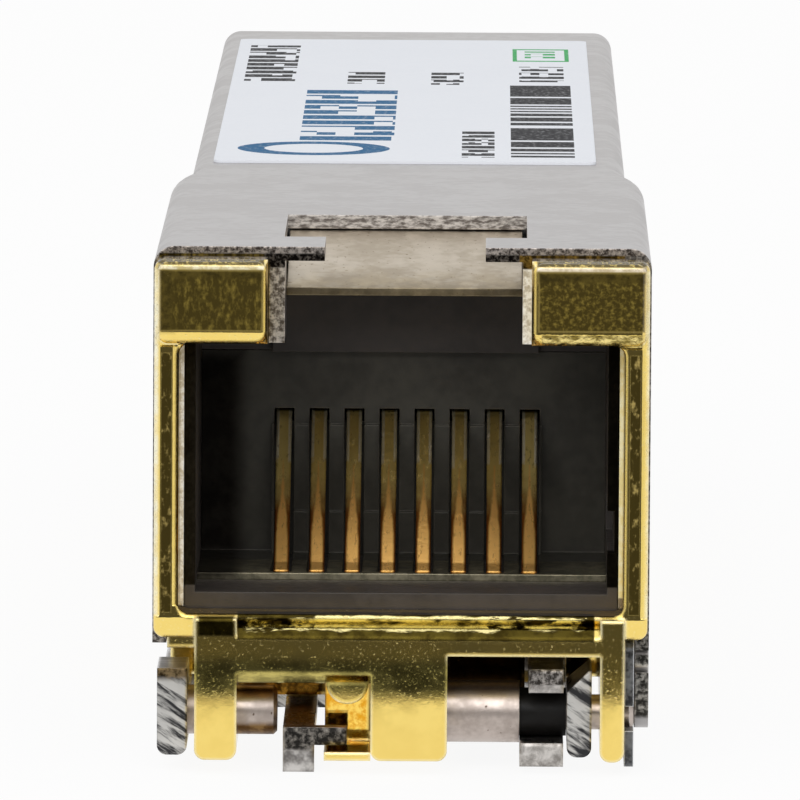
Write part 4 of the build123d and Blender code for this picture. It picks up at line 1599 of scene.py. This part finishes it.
@dataclass
class Studio:
    """A pale floor, a white surround that is dark in front, and one soft lamp, in millimetres."""

    floor_front: float = -48.5
    floor_rear: float = 900.0
    floor_half: float = 600.0
    floor_level: float = -0.02
    floor_glow: float = 0.92
    lamp_place: Triple = (-40.0, -500.0, 330.0)
    lamp_aim: Triple = (0.0, -20.0, 8.0)
    lamp_size: Span = (600.0, 350.0)
    lamp_power: float = 1.3
    front_level: float = 0.08
    front_edge: Span = (0.50, 0.80)
    surround_level: float = 0.85
    top_level: float = 1.15
    top_edge: Span = (0.22, 0.5)
    diffuse_level: float = 0.72

    def build(self) -> None:
        """Make the floor, the surround and the lamp."""
        self.floor()
        self.surround()
        self.lamp()

    @staticmethod
    def white(graph: Graph, kind: str, strength: object) -> Socket:
        """White light of a strength."""
        return graph.node(kind, {"Color": WHITE, "Strength": strength}).outputs[0]

    def floor(self) -> None:
        """Make a flat white floor that stops a little in front of the object."""
        x, y = np.meshgrid((-self.floor_half, self.floor_half), (self.floor_front, self.floor_rear))
        points = np.stack((x.ravel(), y.ravel(), np.full(x.size, self.floor_level)), axis=1) * MM
        mesh = bpy.data.meshes.new("floor")
        mesh.from_pydata(points.tolist(), [], [(0, 1, 3, 2)])
        floor = bpy.data.objects.new("floor", mesh)
        bpy.context.scene.collection.objects.link(floor)
        material = bpy.data.materials.new("white_floor")
        material.use_nodes = True
        graph = Graph(material.node_tree)
        graph.tree.nodes.clear()
        diffuse = graph.node("BsdfDiffuse", {"Color": (0.9, 0.9, 0.9, 1.0)}).outputs[0]
        glow = self.white(graph, "Emission", 1.0)
        rays = graph.node("LightPath").outputs
        seen = graph.math("MAXIMUM", rays["Is Camera Ray"], rays["Is Glossy Ray"])
        seen = graph.math("MAXIMUM", seen, rays["Is Transmission Ray"])
        mixed = graph.node("MixShader", {0: graph.times(seen, self.floor_glow), 1: diffuse, 2: glow})
        graph.node("OutputMaterial", {"Surface": mixed.outputs[0]})
        mesh.materials.append(material)

    def surround(self) -> None:
        """Make the world: white to the camera, and to reflections dark ahead and bright above."""
        world = bpy.data.worlds.new("surround")
        world.use_nodes = True
        world.cycles.sampling_method = "NONE"
        bpy.context.scene.world = world
        graph = Graph(world.node_tree)
        graph.tree.nodes.clear()
        way = graph.axes(graph.node("TexCoord").outputs["Generated"])
        ahead = graph.between(graph.times(way["Y"], -1.0), *self.front_edge)
        level = graph.between(ahead, 0.0, 1.0, self.surround_level, self.front_level)
        level = graph.mix(graph.between(way["Z"], *self.top_edge), level, self.top_level)
        mirrored, white, soft = (
            self.white(graph, "Background", strength) for strength in (level, 1.0, self.diffuse_level)
        )
        rays = graph.node("LightPath").outputs
        lit = graph.node("MixShader", {0: rays["Is Glossy Ray"], 1: soft, 2: mirrored}).outputs[0]
        seen = graph.math("MAXIMUM", rays["Is Camera Ray"], rays["Is Transmission Ray"])
        whole = graph.node("MixShader", {0: seen, 1: lit, 2: white}).outputs[0]
        graph.node("OutputWorld", {"Surface": whole})

    def lamp(self) -> None:
        """Make a large soft lamp in front and above."""
        data = bpy.data.lights.new("soft_lamp", "AREA")
        data.shape = "RECTANGLE"
        data.size, data.size_y = (length * MM for length in self.lamp_size)
        data.energy = self.lamp_power
        lamp = bpy.data.objects.new("soft_lamp", data)
        lamp.location = Vector(self.lamp_place) * MM
        aim = Vector(self.lamp_aim) * MM - lamp.location
        lamp.rotation_mode = "QUATERNION"
        lamp.rotation_quaternion = aim.to_track_quat("-Z", "Y")
        bpy.context.scene.collection.objects.link(lamp)


def write_sizes() -> None:
    """Update the view layer."""
    bpy.context.view_layer.update()


def main() -> None:
    """Build every sub-assembly in order, then the studio."""
    logging.basicConfig(level=logging.INFO, format="%(message)s")
    bpy.context.scene.view_settings.view_transform = "Standard"
    PhotoCamera().build()
    HeadCasting().build()
    Cover().build()
    jack = Jack()
    jack.build()
    jack.solder(Board().build())
    Latch().build()
    Studio().build()
    write_sizes()


if __name__ == "__main__":
    main()
